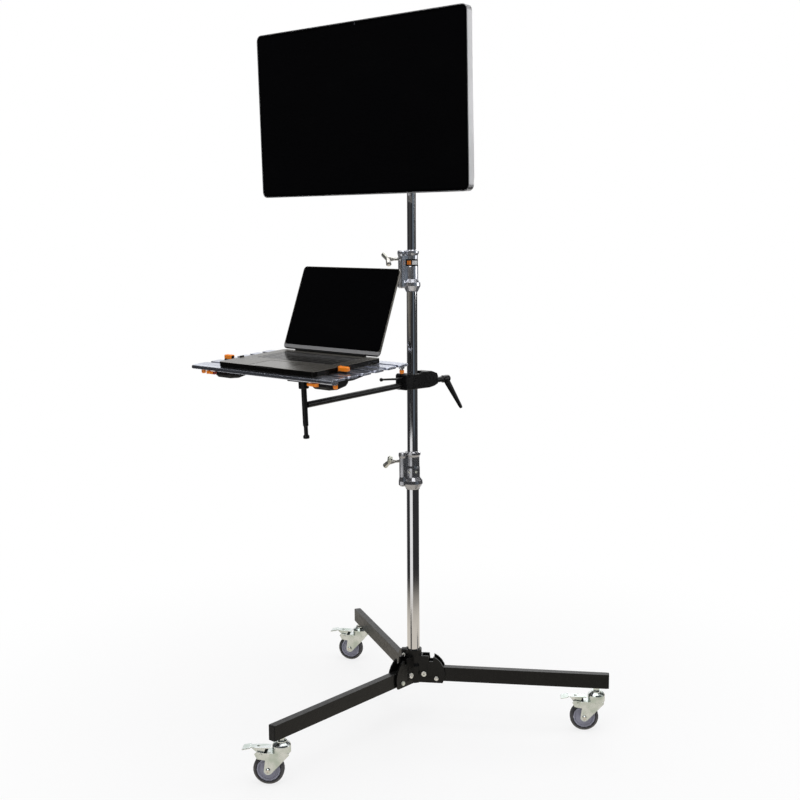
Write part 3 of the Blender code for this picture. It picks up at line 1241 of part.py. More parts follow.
def keyboard(well_centre):
    """All the keys as one mesh of separate caps that stand on the floor of the well."""
    work = bmesh.new()
    centre_z = LAPTOP_THICKNESS - WELL_DEPTH + KEY_HEIGHT / 2 - KEY_SINK
    size_y = KEY_DEPTH_PITCH - KEY_GAP
    keys = []
    for row in range(KEY_ROWS):
        y = well_centre + (row - (KEY_ROWS - 1) / 2) * KEY_DEPTH_PITCH
        for column in range(KEY_COLUMNS):
            if row == 0 and column in KEY_BAR_COLUMNS:
                continue
            keys.append(((column - (KEY_COLUMNS - 1) / 2) * KEY_PITCH, y, KEY_PITCH - KEY_GAP))
    bar_x = (KEY_BAR_COLUMNS[0] + KEY_BAR_COLUMNS[-1] + 1 - KEY_COLUMNS) / 2 * KEY_PITCH
    keys.append((bar_x, well_centre - (KEY_ROWS - 1) / 2 * KEY_DEPTH_PITCH,
                 len(KEY_BAR_COLUMNS) * KEY_PITCH - KEY_GAP))
    for x, y, size_x in keys:
        made = bmesh.ops.create_cube(work, size=1.0)["verts"]
        bmesh.ops.scale(work, vec=(size_x, size_y, KEY_HEIGHT), verts=made)
        bmesh.ops.translate(work, vec=(x, y, centre_z), verts=made)
    mesh = bpy.data.meshes.new("keys")
    work.to_mesh(mesh)
    work.free()
    return mesh


def laptop_cover():
    return moved(plate(case_outline(COVER_INSET), COVER), (0.0, 0.0, SEAT + COVER / 2))


def hinge_height():
    return LAPTOP_THICKNESS + LID_THICKNESS / 2 + RUNNING


def laptop_lid():
    """The lid in the hinge frame, standing along +Z with its screen towards -Y."""
    outline = [(x, z + LID_LENGTH / 2) for x, z in
               rounded_rectangle(LAPTOP_WIDTH, LID_LENGTH, LAPTOP_CORNER, 3)]
    slab = upright(plate(outline, LID_THICKNESS))
    barrel = along_x(rod(HINGE_RADIUS, -HINGE_WIDTH / 2, HINGE_WIDTH / 2))
    pocket = upright(plate(screen_outline(0.0), LID_THICKNESS))
    return combined(slab, [barrel], [moved(pocket, (0.0, -LID_BACK, 0.0))])


def screen_outline(inset):
    """The screen's opening in the lid, above a plain chin."""
    height = LID_LENGTH - LID_CHIN - LID_BORDER
    middle = LID_CHIN + height / 2
    return [(x, z + middle) for x, z in
            rounded_rectangle(LAPTOP_WIDTH - 2 * LID_BORDER - 2 * inset, height - 2 * inset,
                              LAPTOP_CORNER - LID_BORDER - inset, 3)]


def laptop_screen():
    thickness = LID_THICKNESS - LID_BACK - 2 * SEAT
    screen = upright(plate(screen_outline(SEAT), thickness))
    return moved(screen, (0.0, (thickness - LID_THICKNESS + SEAT) / 2, 0.0))


def laptop_clip(arm):
    """A sliding clip at the laptop's edge at x = 0, with its coloured cap beyond an arm along +X."""
    start = SEAT
    cap_start = start + arm
    end = cap_start + CLIP_CAP_LENGTH
    foot = box((end - start - 2 * EDGE, CLIP_WIDTH - 2 * EDGE, CLIP_FOOT),
               ((end + start) / 2, 0.0, SEAT + CLIP_FOOT / 2))
    jaw = box((CLIP_JAW + EDGE, CLIP_WIDTH, LAPTOP_THICKNESS + 3 * EDGE),
              (start + (CLIP_JAW + EDGE) / 2, 0.0, SEAT + LAPTOP_THICKNESS / 2 + 1.5 * EDGE), bevel=EDGE)
    cap = box((CLIP_CAP_LENGTH, CLIP_WIDTH, CLIP_CAP_HEIGHT),
              (cap_start + CLIP_CAP_LENGTH / 2, 0.0, SEAT + CLIP_FOOT + CLIP_CAP_HEIGHT / 2 - EDGE),
              bevel=3 * EDGE, segments=2)
    return combined(foot, [jaw, cap])


# Assembly

def build_base(root):
    piece("base_casting", base_casting(), root, "black_paint")
    meshes = {"bolt": fold_bolt(), "leg": leg_tube(), "cap": leg_end_cap(),
              "stem": caster_stem(), "fork": caster_fork(), "pedal": brake_pedal(),
              "tyre": wheel_tyre(), "core": wheel_core()}
    for name, (heading, caster_heading) in LEGS.items():
        direction = frame(f"{name}_leg_direction", root, turn=(0.0, 0.0, heading))
        fold = frame(f"{name}_leg_fold", direction,
                     (FOLD_RADIUS, 0.0, CASTER_HEIGHT + FOLD_RISE))
        piece(f"{name}_fold_bolt", meshes["bolt"].copy(), fold, "zinc")
        piece(f"{name}_leg_tube", meshes["leg"].copy(), fold, "black_paint")
        piece(f"{name}_leg_end_cap", meshes["cap"].copy(), fold, "black_plastic")
        stem = frame(f"{name}_caster_swivel", fold,
                     (LEG_REACH - STEM_INSET - FOLD_RADIUS, 0.0, -FOLD_RISE))
        piece(f"{name}_caster_stem", meshes["stem"].copy(), stem, "zinc")
        swivel = frame(f"{name}_caster_heading", stem, turn=(0.0, 0.0, caster_heading - heading))
        piece(f"{name}_caster_fork", meshes["fork"].copy(), swivel, "zinc")
        axle = frame(f"{name}_wheel_axle", swivel,
                     (CASTER_TRAIL, 0.0, WHEEL_RADIUS - CASTER_HEIGHT))
        piece(f"{name}_wheel_tyre", meshes["tyre"].copy(), axle, "tyre_rubber")
        piece(f"{name}_wheel_core", meshes["core"].copy(), axle, "wheel_grey")
        pin = frame(f"{name}_pedal_pin", swivel,
                    (PEDAL_PIVOT_X, 0.0, PEDAL_PIVOT_Z - CASTER_HEIGHT))
        piece(f"{name}_brake_pedal", meshes["pedal"].copy(), pin, "zinc")


def build_collar(name, carrier, z, height, tubes, tube_top, flare, turn):
    """A collar on its carrier with its T-handled screw."""
    below, above = tubes
    place = frame(f"{name}_collar_place", carrier, (0.0, 0.0, z), (0.0, 0.0, COLLAR_HEADING))
    piece(f"{name}_collar", collar(height, below, above, tube_top - z, flare), place, "bright_casting")
    screw = frame(f"{name}_t_handle_axis", place, (0.0, 0.0, height - T_SCREW_DROP), (turn, 0.0, 0.0))
    piece(f"{name}_t_handle", t_handle(above), screw, "zinc")


def build_column(root):
    piece("lower_tube", column_tube(LOWER_RADIUS, SOCKET_FLOOR + SEAT, LOWER_TOP), root, "chrome")
    build_collar("lower", root, LOWER_COLLAR_Z, LOWER_COLLAR_HEIGHT, (LOWER_RADIUS, MIDDLE_RADIUS),
                 LOWER_TOP, LOWER_FLARE, LOWER_HANDLE_TURN)
    middle = frame("middle_riser", root)
    piece("middle_tube", column_tube(MIDDLE_RADIUS, MIDDLE_TOP - MIDDLE_LENGTH, MIDDLE_TOP),
          middle, "chrome")
    build_collar("upper", middle, UPPER_COLLAR_Z, UPPER_COLLAR_HEIGHT, (MIDDLE_RADIUS, TOP_RADIUS),
                 MIDDLE_TOP, UPPER_FLARE, UPPER_HANDLE_TURN)
    top = frame("top_riser", middle)
    piece("top_tube", top_tube(), top, "chrome")
    return middle, top


def build_monitor(top):
    pan = frame("monitor_pan", top, (0.0, 0.0, MONITOR_Z), (0.0, 0.0, MONITOR_PAN))
    piece("monitor_bracket", monitor_bracket(), pan, "black_metal")
    knob = frame("bracket_knob_axis", pan,
                 (0.0, 0.0, TOP_TOP - MONITOR_Z + SLEEVE_LIFT + KNOB_RISE), (-90.0, 0.0, 0.0))
    piece("bracket_lock_knob", bracket_knob(), knob, "black_plastic")
    tilt = frame("monitor_tilt", pan, (0.0, -TILT_REACH, 0.0), (MONITOR_TILT, 0.0, 0.0))
    piece("monitor_mount_plate", mount_plate(), tilt, "black_metal")
    case = frame("monitor_case_place", tilt, (MONITOR_SHIFT, 0.0, 0.0), (0.0, MONITOR_ROLL, 0.0))
    piece("monitor_rear_shell", monitor_shell(), case, "silver_aluminium")
    piece("monitor_glass", monitor_glass(), case, "dark_glass")


def build_clamp(middle):
    swivel = frame("clamp_swivel", middle, (0.0, 0.0, CLAMP_Z), (0.0, 0.0, CLAMP_HEADING))
    piece("clamp_body", clamp_body(), swivel, "black_metal")
    jaw = frame("jaw_slide", swivel)
    piece("clamp_jaw", clamp_jaw(), jaw, "black_metal")
    screw = frame("clamp_screw_axis", jaw)
    piece("clamp_handle", clamp_handle(), screw, "black_metal")
    lock = frame("arm_lock_axis", swivel, (0.0, -LOCK_PIN_Y, LOCK_PIN_Z))
    piece("arm_lock_lever", arm_lock_lever(), lock, "black_metal")
    arm = frame("arm_roll", swivel, turn=(ARM_DROOP, 0.0, 0.0))
    piece("support_arm", support_arm(), arm, "black_metal")
    post = frame("tray_swivel", arm, (0.0, -ARM_REACH, 0.0))
    piece("support_post", support_post(), post, "black_metal")
    return post


def build_tray(post):
    piece("tray_receiver", tray_receiver(), post, "black_metal")
    tray = frame("tray_plane", post)
    tray.matrix_basis = tray_matrix()
    piece("tray_deck", tray_deck(), tray, "grey_anodised")
    piece("tray_front_rail", tray_front_rail(), tray, "grey_anodised")
    side_x = TRAY_WIDTH / 2 - STUD_INSET_X
    rear_y = TRAY_DEPTH / 2 - STUD_INSET_Y
    front_y = RAIL_DEPTH - rear_y
    for end, y in (("front", front_y), ("rear", rear_y)):
        for side, x in (("left", -side_x), ("right", side_x)):
            place = frame(f"{end}_{side}_corner", tray, (x, y, 0.0))
            piece(f"{end}_{side}_corner_stud", corner_stud(), place, "bright_casting")
    for name, side in (("left", -1), ("right", 1)):
        lever = frame(f"{name}_cam_axis", tray,
                      (side * (TRAY_WIDTH / 2 - CAM_INSET), CAM_PIN_INSET - TRAY_DEPTH / 2, 0.0),
                      (0.0, 0.0, 90.0 + 90.0 * side))
        piece(f"{name}_cam_lever", cam_lever(), lever, "orange_plastic")
        pod_x = side * (TRAY_WIDTH / 2 - POD_INSET_X - POD_WIDTH / 2)
        place = frame(f"{name}_pod_place", tray, (pod_x, POD_INSET_Y - TRAY_DEPTH / 2, 0.0))
        piece(f"{name}_accessory_pod", accessory_pod(), place, "black_plastic")
    return tray


def build_laptop(tray):
    base = frame("laptop_place", tray, (LAPTOP_X, LAPTOP_Y, 0.0))
    piece("laptop_top_case", laptop_case(), base, "dark_aluminium")
    piece("laptop_bottom_cover", laptop_cover(), base, "dark_aluminium")
    hinge = frame("laptop_hinge", base, (0.0, LAPTOP_DEPTH / 2 - HINGE_INSET, hinge_height()),
                  (-LID_LEAN, 0.0, 0.0))
    piece("laptop_lid", laptop_lid(), hinge, "dark_aluminium")
    piece("laptop_screen", laptop_screen(), hinge, "dark_glass")
    for name, (arm, heading) in CLIPS.items():
        side = cos(radians(heading))
        place = frame(f"{name}_clip_slide", tray, (LAPTOP_X + side * LAPTOP_WIDTH / 2, CLIP_Y, 0.0),
                      (0.0, 0.0, heading))
        piece(f"{name}_laptop_clip", laptop_clip(arm), place, "black_plastic")


def build():
    root = frame("stand_axis", location=(STAND_X, STAND_Y, 0.0))
    build_base(root)
    middle, top = build_column(root)
    build_monitor(top)
    post = build_clamp(middle)
    tray = build_tray(post)
    build_laptop(tray)


clear_scene()
PARTS = collection("tethering_workstation")
WORK = collection("working_shapes")
build()
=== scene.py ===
"""Looks of the tethering workstation: finishes, small fittings, the camera and the studio."""

from math import cos, pi, radians, sin

import bmesh
import bpy
from mathutils import Matrix, Vector


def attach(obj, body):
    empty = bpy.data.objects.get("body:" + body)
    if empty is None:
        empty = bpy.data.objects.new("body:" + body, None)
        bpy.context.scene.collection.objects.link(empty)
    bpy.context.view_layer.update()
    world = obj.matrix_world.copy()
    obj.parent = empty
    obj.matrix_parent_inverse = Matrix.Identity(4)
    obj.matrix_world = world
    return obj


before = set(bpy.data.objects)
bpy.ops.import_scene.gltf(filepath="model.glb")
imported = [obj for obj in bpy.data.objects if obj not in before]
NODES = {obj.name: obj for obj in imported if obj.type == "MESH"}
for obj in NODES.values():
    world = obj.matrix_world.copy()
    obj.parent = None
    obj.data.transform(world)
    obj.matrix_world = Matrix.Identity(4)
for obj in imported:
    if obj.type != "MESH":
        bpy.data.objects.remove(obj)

bl_info = {
    "name": "Tethering workstation looks",
    "version": (1, 1, 0),
    "blender": (4, 5, 0),
    "location": "View3D > Sidebar > Workstation",
    "description": "Dresses the packed workstation with finishes and small fittings",
    "category": "Object",
}

# Column's axis on the floor, in the part's frame
STAND = Vector((0.0361, 0.1412, 0.0))

# Camera fitted to the photograph, about the column's axis
CAMERA_PLACE = Vector((1.991, -2.348, 1.3185))
CAMERA_FORWARD = Vector((-0.64990894, 0.74955492, -0.12864))
CAMERA_RIGHT = Vector((0.75634304, 0.65477314, -0.00595))
FOCAL_PIXELS = 1128.3
IMAGE_PIXELS = 800
SENSOR = 36.0

# Legs, as the heading of each about the column and the heading of its caster, in degrees
LEGS = {"front": (-90.0, 218.0), "right": (32.5, 216.0), "left": (150.0, 207.0)}

# Places of the bolts in a leg's frame, of the caster and its axle, and of the clamp lug's bolt
TIE_REACH = 0.032
TIE_HEIGHT = 0.143
TIE_FACE = 0.0163
FOLD_REACH = 0.067
FOLD_HEIGHT = 0.131
FOLD_FACE = 0.0208
FOLD_TAIL = 0.0218
STEM_REACH = 0.512
CASTER_TRAIL = 0.033
AXLE_HEIGHT = 0.039
AXLE_FACE = 0.0207
LUG_HEADING = 220.3
LUG_REACH = 0.028
LUG_HEIGHT = 0.196
LUG_FACE = 0.0093

# Upper collar's black neck band, as heights above the floor, with the spans of its two
# coloured patches across its front, which faces FRONT_HEADING
BAND_LOW = 1.2850
BAND_HIGH = 1.3040
BAND_RIM = 0.0042
BAND_START = -0.0165
FRONT_HEADING = -49.7
ORANGE_PATCH = (-0.0125, -0.0020)
PALE_PATCH = (0.0010, 0.0150)

# Screws in the lower collar's front
COLLAR_SCREW_Z = 0.721
COLLAR_SCREW_REACH = 0.0204
COLLAR_SCREW_HEADINGS = (-75.0, -21.7)

# Monitor about its tilt pin, with its turns in degrees
MONITOR_Z = 1.6825
MONITOR_PAN = 2.0
MONITOR_TILT = 2.3
MONITOR_ROLL = 0.65
MONITOR_SHIFT = 0.005
TILT_REACH = 0.150
SCREEN_FRONT = -0.0774
SCREEN_HALF_WIDTH = 0.344
SCREEN_HALF_HEIGHT = 0.2122
SCREEN_BORDER = 0.009
CAMERA_DOT_Z = 0.2045
MOUNT_FACE = -0.0167
MOUNT_HOLES = 0.050

# Tray's plane, by its middle on the slats' top and its directions, and what lies in it
TRAY_MIDDLE = Vector((-0.06483, -0.19353, 1.03864))
TRAY_ACROSS = Vector((0.99977, 0.01221, -0.01777))
TRAY_BACK = Vector((-0.01096, 0.99758, 0.06869))
SLAT_COUNT = 6
SLAT_START = -0.1257
SLAT_PITCH = 0.04662
SLAT_WIDTH = 0.03462
BAR_REACH = 0.2205
BAR_UNDERSIDE = -0.009
STUD_SPLIT = -0.0158

# Laptop in the tray's plane, with the lid's lean in degrees
LAPTOP_X = 0.015
LAPTOP_Y = -0.011
LAPTOP_HALF_WIDTH = 0.173
LAPTOP_TOP = 0.014
KEYS_Y = 0.03535
KEYS_HALF_WIDTH = 0.134
KEYS_HALF_DEPTH = 0.05515
KEY_TOP = 0.0133
KEYS_DEPTH = 0.0035
RIM_DEPTH = 0.0006
PAD_HALF_WIDTH = 0.0625
PAD_FRONT = -0.1155
PAD_BACK = -0.0375
GRILLE_START = 0.1395
GRILLE_END = 0.1660
GRILLE_PITCH = 0.0018
HINGE_Y = 0.1145
HINGE_Z = 0.0169
LID_LEAN = 24.8
LID_HINGE_TOP = 0.003
LID_CHIN = 0.012
LID_PANEL_TOP = 0.2328
LID_FACE = -0.0020
LID_SCREEN_INSET = 0.0025
LID_SCREEN_BORDER = 0.004

# Laptop's clips, as the reach and the turn of each arm, and the left cam lever with the reach
# at which its red end starts
CLIP_Y = -0.047
CLIP_FOOT = 0.0054
CLIP_ARMS = {"left": (0.0385, 180.0), "right": (0.0045, 0.0)}
CAM_X = -0.1955
CAM_Y = -0.134
CAM_TIP = 0.022

# Ports in the laptop's sides, as the distance back and the half length of each
PORTS = {
    -1: ((0.098, 0.0046), (0.080, 0.0046), (0.062, 0.0019)),
    1: ((0.098, 0.0075), (0.076, 0.0046)),
}
PORT_HEIGHT = 0.0075
PORT_HALF_HEIGHT = 0.0016
PORT_STAND_OFF = 0.00003

# Small fittings: the sizes that the panel doesn't set, how far they stand off their faces, how
# finely their skins are divided, and their sockets' floors as shares of the whole height
STAND_OFF = 0.0001
CHAMFER = 0.0006
TIE_GAP = 0.0003
TIE_CAP_HEIGHT = 0.0046
TIE_SOCKET = 0.0019
FOLD_END_SHARE = 0.6
FOLD_CAP_HEIGHT = 0.0008
FOLD_SOCKET = 0.0016
FOLD_NUT_HEIGHT = 0.0012
LUG_CAP = 0.0050
LUG_CAP_HEIGHT = 0.0056
LUG_SOCKET = 0.0022
AXLE_CAP_HEIGHT = 0.0009
AXLE_SOCKET = 0.0024
COLLAR_SCREW_HEIGHT = 0.0020
COLLAR_SCREW_SOCKET = 0.0011
MOUNT_SCREW_HEIGHT = 0.0024
MOUNT_SCREW_SOCKET = 0.0015
CAMERA_DOT_HEIGHT = 0.0004
RIVET_HEIGHT = 0.0013
CORNERS = 24
DOME_STEPS = 4
DOME_TURN = pi / 9
CAP_SOCKET_FLOOR = 0.25
DOME_SOCKET_FLOOR = 0.3

# Port's lip, and the heights of its foot, its rim and its sunk floor
PORT_LIP = 0.0005
PORT_FOOT = 0.00002
PORT_RIM = 0.00025
PORT_FLOOR = 0.00006

# Widths of worn and of rounded edges, of a drawn line's soft edge, and of the tyres' marks
# EDGE_WEAR also sets the width of the painted highlight on the keys' edges
EDGE_WEAR = 0.0009
SOFT_EDGE = 0.0007
LINE_BLUR = 0.0002
TREAD_REACH = 0.0065
TREAD_BLUR = 0.001
MOULDING_LINE = 0.0004

# Cosines between the rounded and the flat face where an edge starts to wear and is all worn
WORN_COSINES = (0.998, 0.93)

# Noise of the finishes, as its cells per metre and its layers of detail
CLOUDS = (9.0, 4.0)
DUST = (14.0, 5.0)
RUBBING = (120.0, 2.0)
CHIPS = (60.0, 4.0)
PEEL = (900.0, 2.0)
MARKS = (420.0, 2.0)
HAZE = (22.0, 4.0)
ZINC_CLOUDS = (35.0, 5.0)
DENTS = (150.0, 2.0)
GRAIN = (1600.0, 1.0)
CASTING_WAVES = (110.0, 1.0)
CASTING_SHADE = (30.0, 4.0)
GRIME = (60.0, 5.0)
RUBBER = (700.0, 3.0)
SMEARS = (7.0, 5.0)
SCUFFS = (90.0, 4.0)
MOULDING = (800.0, 2.0)

# Colours that the panel doesn't set, and the shades of the laptop's colour on its lower half
BAND_BLACK = (0.008, 0.008, 0.009)
PATCH_GREY = (0.62, 0.62, 0.62)
# Painted highlight on the keys' edges
KEY_EDGE_HIGHLIGHT = (0.26, 0.25, 0.24)
# Painted shade in the grilles' holes
GRILLE_HOLE_SHADE = (0.006, 0.006, 0.006)
CHIN_GREY = (0.42, 0.42, 0.43)
HINGE_BLACK = (0.010, 0.010, 0.010)
SCUFF_BROWN = (0.20, 0.12, 0.08)
STUD_SILVER = (0.75, 0.75, 0.76)
LEVER_RED = (0.26, 0.025, 0.012)
LENS_GREY = (0.20, 0.21, 0.24)
# Ports' dark metal, darkened further as painted shade for the depth of their openings
PORT_SHADE_GREY = (0.03, 0.03, 0.032)
FLOOR_CLOUD = (0.8, 0.8, 0.8)
CASE_SHADE = 0.5
COVER_SHADE = 0.4

# Room that the metal mirrors: its sectors as headings in degrees from the object with the half
# width and the soft edge of each, its colours, the heights where its parts start and end as
# sines of the angle, and the distances on the floor where it changes
BACKGROUND = (131.0, 35.0)
NEAR_FLOOR = (-80.0, 30.0)
STRIPS = (
    (-97.0, 12.0, (0.06, 0.06, 0.06)),
    (-8.0, 11.0, (0.13, 0.16, 0.19)),
    (31.0, 9.0, (0.08, 0.08, 0.08)),
)
SECTOR_BLUR = 3.0
DARK_ROOM = (0.034, 0.034, 0.036)
CEILING = (0.45, 0.45, 0.46)
BEIGE_FLOOR = (0.74, 0.69, 0.61)
CEILING_RISE = (0.70, 0.90)
STRIP_FADE = (0.5, 0.3)
BACKGROUND_FADE = (0.75, 0.55)
BEIGE_REACH = (1.5, 0.78)
POOL_REACH = (5.6, 4.9)
WHITE = (1.0, 1.0, 1.0)

# Floor that the camera sees: its share of plain white at the object, and where it is all white
WHITE_SHARE = 0.76
WHITE_REACH = (0.3, 1.8)

# Softboxes, as the place and the size of each, all turned to one spot on the object
LAMP_TARGET = (0.0, 0.0, 0.9)
OVERHEAD_LAMP = ((0.3, -0.3, 3.4), (3.0, 3.0))
SIDE_LAMPS = {
    "left": ((0.5, -4.2, 3.3), (1.6, 2.4)),
    "right": ((2.8, 2.7, 2.2), (1.6, 2.4)),
    "rear": ((-1.2, 3.4, 2.8), (2.4, 1.6)),
}


# Frames of the pieces

def turned(degrees, axis):
    return Matrix.Rotation(radians(degrees), 4, axis)


def shifted(x, y, z):
    return Matrix.Translation((x, y, z))


def about_stand(heading):
    return Matrix.Translation(STAND) @ turned(heading, "Z")


def facing(side):
    """Turns the Z axis to a frame's +Y or -Y side."""
    return turned(-90.0 * side, "X")


def caster_frame(name):
    heading, caster = LEGS[name]
    return about_stand(heading) @ shifted(STEM_REACH, 0.0, 0.0) @ turned(caster - heading, "Z")


def monitor_frame():
    return about_stand(MONITOR_PAN) @ shifted(0.0, -TILT_REACH, MONITOR_Z) @ turned(MONITOR_TILT, "X")


def screen_frame():
    return monitor_frame() @ shifted(MONITOR_SHIFT, 0.0, 0.0) @ turned(MONITOR_ROLL, "Y")


def tray_frame():
    across = TRAY_ACROSS.normalized()
    up = across.cross(TRAY_BACK).normalized()
    directions = Matrix((across, up.cross(across), up)).transposed().to_4x4()
    return Matrix.Translation(TRAY_MIDDLE) @ directions


def laptop_frame():
    return tray_frame() @ shifted(LAPTOP_X, LAPTOP_Y, 0.0)


def lid_frame():
    return laptop_frame() @ shifted(0.0, HINGE_Y, HINGE_Z) @ turned(-LID_LEAN, "X")


def clip_frame(name):
    side = 1.0 if name == "right" else -1.0
    start = shifted(LAPTOP_X + side * LAPTOP_HALF_WIDTH, CLIP_Y, 0.0)
    return tray_frame() @ start @ turned(CLIP_ARMS[name][1], "Z")


# Shader trees

class Wire:
    """A socket in a shader tree that is written like a number in sums and products."""

    def __init__(self, sheet, socket):
        self.sheet = sheet
        self.socket = socket

    def maths(self, operation, first, second=0.0):
        return self.sheet.node("ShaderNodeMath", {"operation": operation}, {0: first, 1: second})

    def __add__(self, other):
        return self.maths("ADD", self, other)

    def __radd__(self, other):
        return self.maths("ADD", other, self)

    def __sub__(self, other):
        return self.maths("SUBTRACT", self, other)

    def __rsub__(self, other):
        return self.maths("SUBTRACT", other, self)

    def __mul__(self, other):
        return self.maths("MULTIPLY", self, other)

    def __rmul__(self, other):
        return self.maths("MULTIPLY", other, self)

    def __gt__(self, other):
        return self.maths("GREATER_THAN", self, other)

    def __lt__(self, other):
        return self.maths("LESS_THAN", self, other)

    def __abs__(self):
        return self.maths("ABSOLUTE", self)

    def wave(self, length):
        """A sine of this value with the given wavelength."""
        return self.maths("SINE", self * (2.0 * pi / length))

    def most(self, other):
        return self.maths("MAXIMUM", self, other)


class Sheet:
    """The shader tree of a material or world."""

    def __init__(self, owner):
        owner.use_nodes = True
        self.tree = owner.node_tree

    def put(self, socket, value):
        """Links a wire to a socket, or sets the socket's own value."""
        if isinstance(value, Wire):
            self.tree.links.new(value.socket, socket)
        elif hasattr(socket, "default_value") and not isinstance(value, float):
            wide = len(socket.default_value) == 4 and len(value) == 3
            socket.default_value = (*value, 1.0) if wide else tuple(value)
        else:
            socket.default_value = value

    def node(self, kind, settings=None, values=None, output=0):
        """Adds a node: its settings first, then the values or links of its sockets."""
        made = self.tree.nodes.new(kind)
        for name, value in (settings or {}).items():
            setattr(made, name, value)
        for socket, value in (values or {}).items():
            self.put(made.inputs[socket], value)
        return Wire(self, made.outputs[output])

    def shader(self, **values):
        """Sets the material's own shader, whose socket names are given with underscores."""
        surface = self.tree.nodes["Principled BSDF"]
        for name, value in values.items():
            self.put(surface.inputs[name.replace("_", " ")], value)
        return Wire(self, surface.outputs[0])

    def end(self, shader, output="Material Output"):
        """Links the shader to the tree's output."""
        self.put(self.tree.nodes[output].inputs["Surface"], shader)

    def mixed(self, factor, first, second):
        """A colour from first to second."""
        return self.node("ShaderNodeMix", {"data_type": "RGBA"}, {0: factor, 6: first, 7: second}, 2)

    def between(self, factor, first, second):
        """A number from first to second."""
        return factor * (second - first) + first

    def joined(self, factor, first, second):
        """A shader from first to second."""
        return self.node("ShaderNodeMixShader", None, {0: factor, 1: first, 2: second})

    def ramp(self, value, low, high, to_low=0.0, to_high=1.0):
        """A smooth step from to_low to to_high as value goes from low to high."""
        return self.node("ShaderNodeMapRange", {"interpolation_type": "SMOOTHSTEP"},
                         {0: value, 1: low, 2: high, 3: to_low, 4: to_high})

    def place(self):
        """The point's place in the part's frame."""
        return self.node("ShaderNodeTexCoord", output="Object")

    def vector(self, operation, first, second, output="Vector"):
        values = {0: first, 1: second}
        return self.node("ShaderNodeVectorMath", {"operation": operation}, values, output)

    def along(self, matrix, axis):
        """Distance in metres from a frame's origin along one of its axes, 0 to 2."""
        direction = matrix.to_3x3().col[axis]
        spread = self.vector("DOT_PRODUCT", self.place(), direction, "Value")
        return spread - float(direction.dot(matrix.translation))

    def within(self, value, middle, reach, blur=LINE_BLUR):
        """1 where value is within reach of middle."""
        return 1.0 - self.ramp(abs(value - middle), reach - blur, reach + blur)

    def noise(self, scale, detail=3.0, stretch=(1.0, 1.0, 1.0)):
        """Noise about 0.5, with its cells stretched along the axes."""
        mapped = self.vector("MULTIPLY", self.place(), stretch)
        values = {"Vector": mapped, "Scale": scale, "Detail": detail}
        return self.node("ShaderNodeTexNoise", None, values)

    def bump(self, height, distance, soft_edge=0.0):
        """A bumped normal, over edges that are rounded by soft_edge where that isn't 0."""
        values = {"Height": height, "Distance": distance}
        if soft_edge:
            values["Normal"] = self.node("ShaderNodeBevel", {"samples": 4}, {"Radius": soft_edge})
        return self.node("ShaderNodeBump", None, values)

    def edges(self, width):
        """1 on outer edges and 0 on flat faces: a mask for worn edges and for the painted highlight on
        the keys' edges.
        """
        rounded = self.node("ShaderNodeBevel", {"samples": 4}, {"Radius": width})
        flat = self.node("ShaderNodeNewGeometry", output="True Normal")
        return self.ramp(self.vector("DOT_PRODUCT", rounded, flat, "Value"), *WORN_COSINES)


def material(name, recipe, *details):
    """The named material, which its recipe makes the first time."""
    if name in bpy.data.materials and "dressed" in bpy.data.materials[name]:
        return bpy.data.materials[name]
    made = bpy.data.materials.new(name)
    made["dressed"] = True
    recipe(Sheet(made), *details)
    return made


def scaled(colour, factor, lift=0.0):
    """A colour times a factor, with lift added to each channel."""
    return tuple(channel * factor + lift for channel in colour)


# Finishes

def clouded(sheet, colour):
    """The slight clouds of anodising."""
    return sheet.mixed(sheet.ramp(sheet.noise(*CLOUDS), 0.35, 0.75), colour, scaled(colour, 0.88))


def coated(sheet, colour, roughness, peel=0.00003):
    """Powder coat or moulded plastic: fine orange peel, faint dust, rubbed edges."""
    dust = sheet.ramp(sheet.noise(*DUST), 0.45, 0.75)
    rubbed = sheet.ramp(sheet.noise(*RUBBING), 0.3, 0.7)
    worn = sheet.edges(EDGE_WEAR) * sheet.ramp(sheet.noise(*CHIPS), 0.4, 0.7)
    dusty = sheet.mixed(dust * 0.5, colour, scaled(colour, 1.5, 0.002))
    sheet.shader(Base_Color=sheet.mixed(worn * 0.5, dusty, scaled(colour, 3.0, 0.03)),
                 Roughness=sheet.between(rubbed, roughness - 0.05, roughness + 0.08),
                 Normal=sheet.bump(sheet.noise(*PEEL), peel, SOFT_EDGE),
                 Specular_IOR_Level=0.26)


def plated(sheet, colour, roughness, stretch=(1.0, 1.0, 0.02)):
    """Plated or polished metal with faint marks that run along the piece."""
    marks = sheet.noise(*MARKS, stretch)
    haze = sheet.ramp(sheet.noise(*HAZE), 0.4, 0.8)
    sheet.shader(Base_Color=sheet.mixed(haze * 0.6, colour, scaled(colour, 0.86)), Metallic=1.0,
                 Roughness=sheet.between(sheet.ramp(marks, 0.3, 0.8), roughness, roughness + 0.07),
                 Normal=sheet.bump(marks, 0.000001))


def pressed_zinc(sheet, colour, roughness, metallic=1.0):
    """Bright zinc on pressed steel: a cloudy passivated sheen, soft dents and dulled edges."""
    cloud = sheet.ramp(sheet.noise(*ZINC_CLOUDS), 0.35, 0.7)
    green = (colour[0] * 0.74, colour[1] * 0.80, colour[2] * 0.73)
    worn = sheet.edges(EDGE_WEAR)
    tone = sheet.mixed(cloud, colour, green)
    sheet.shader(Base_Color=sheet.mixed(worn * 0.5, tone, scaled(colour, 1.15)), Metallic=metallic,
                 Roughness=sheet.between(cloud, roughness, roughness + 0.14),
                 Normal=sheet.bump(sheet.noise(*DENTS), 0.00005, SOFT_EDGE))


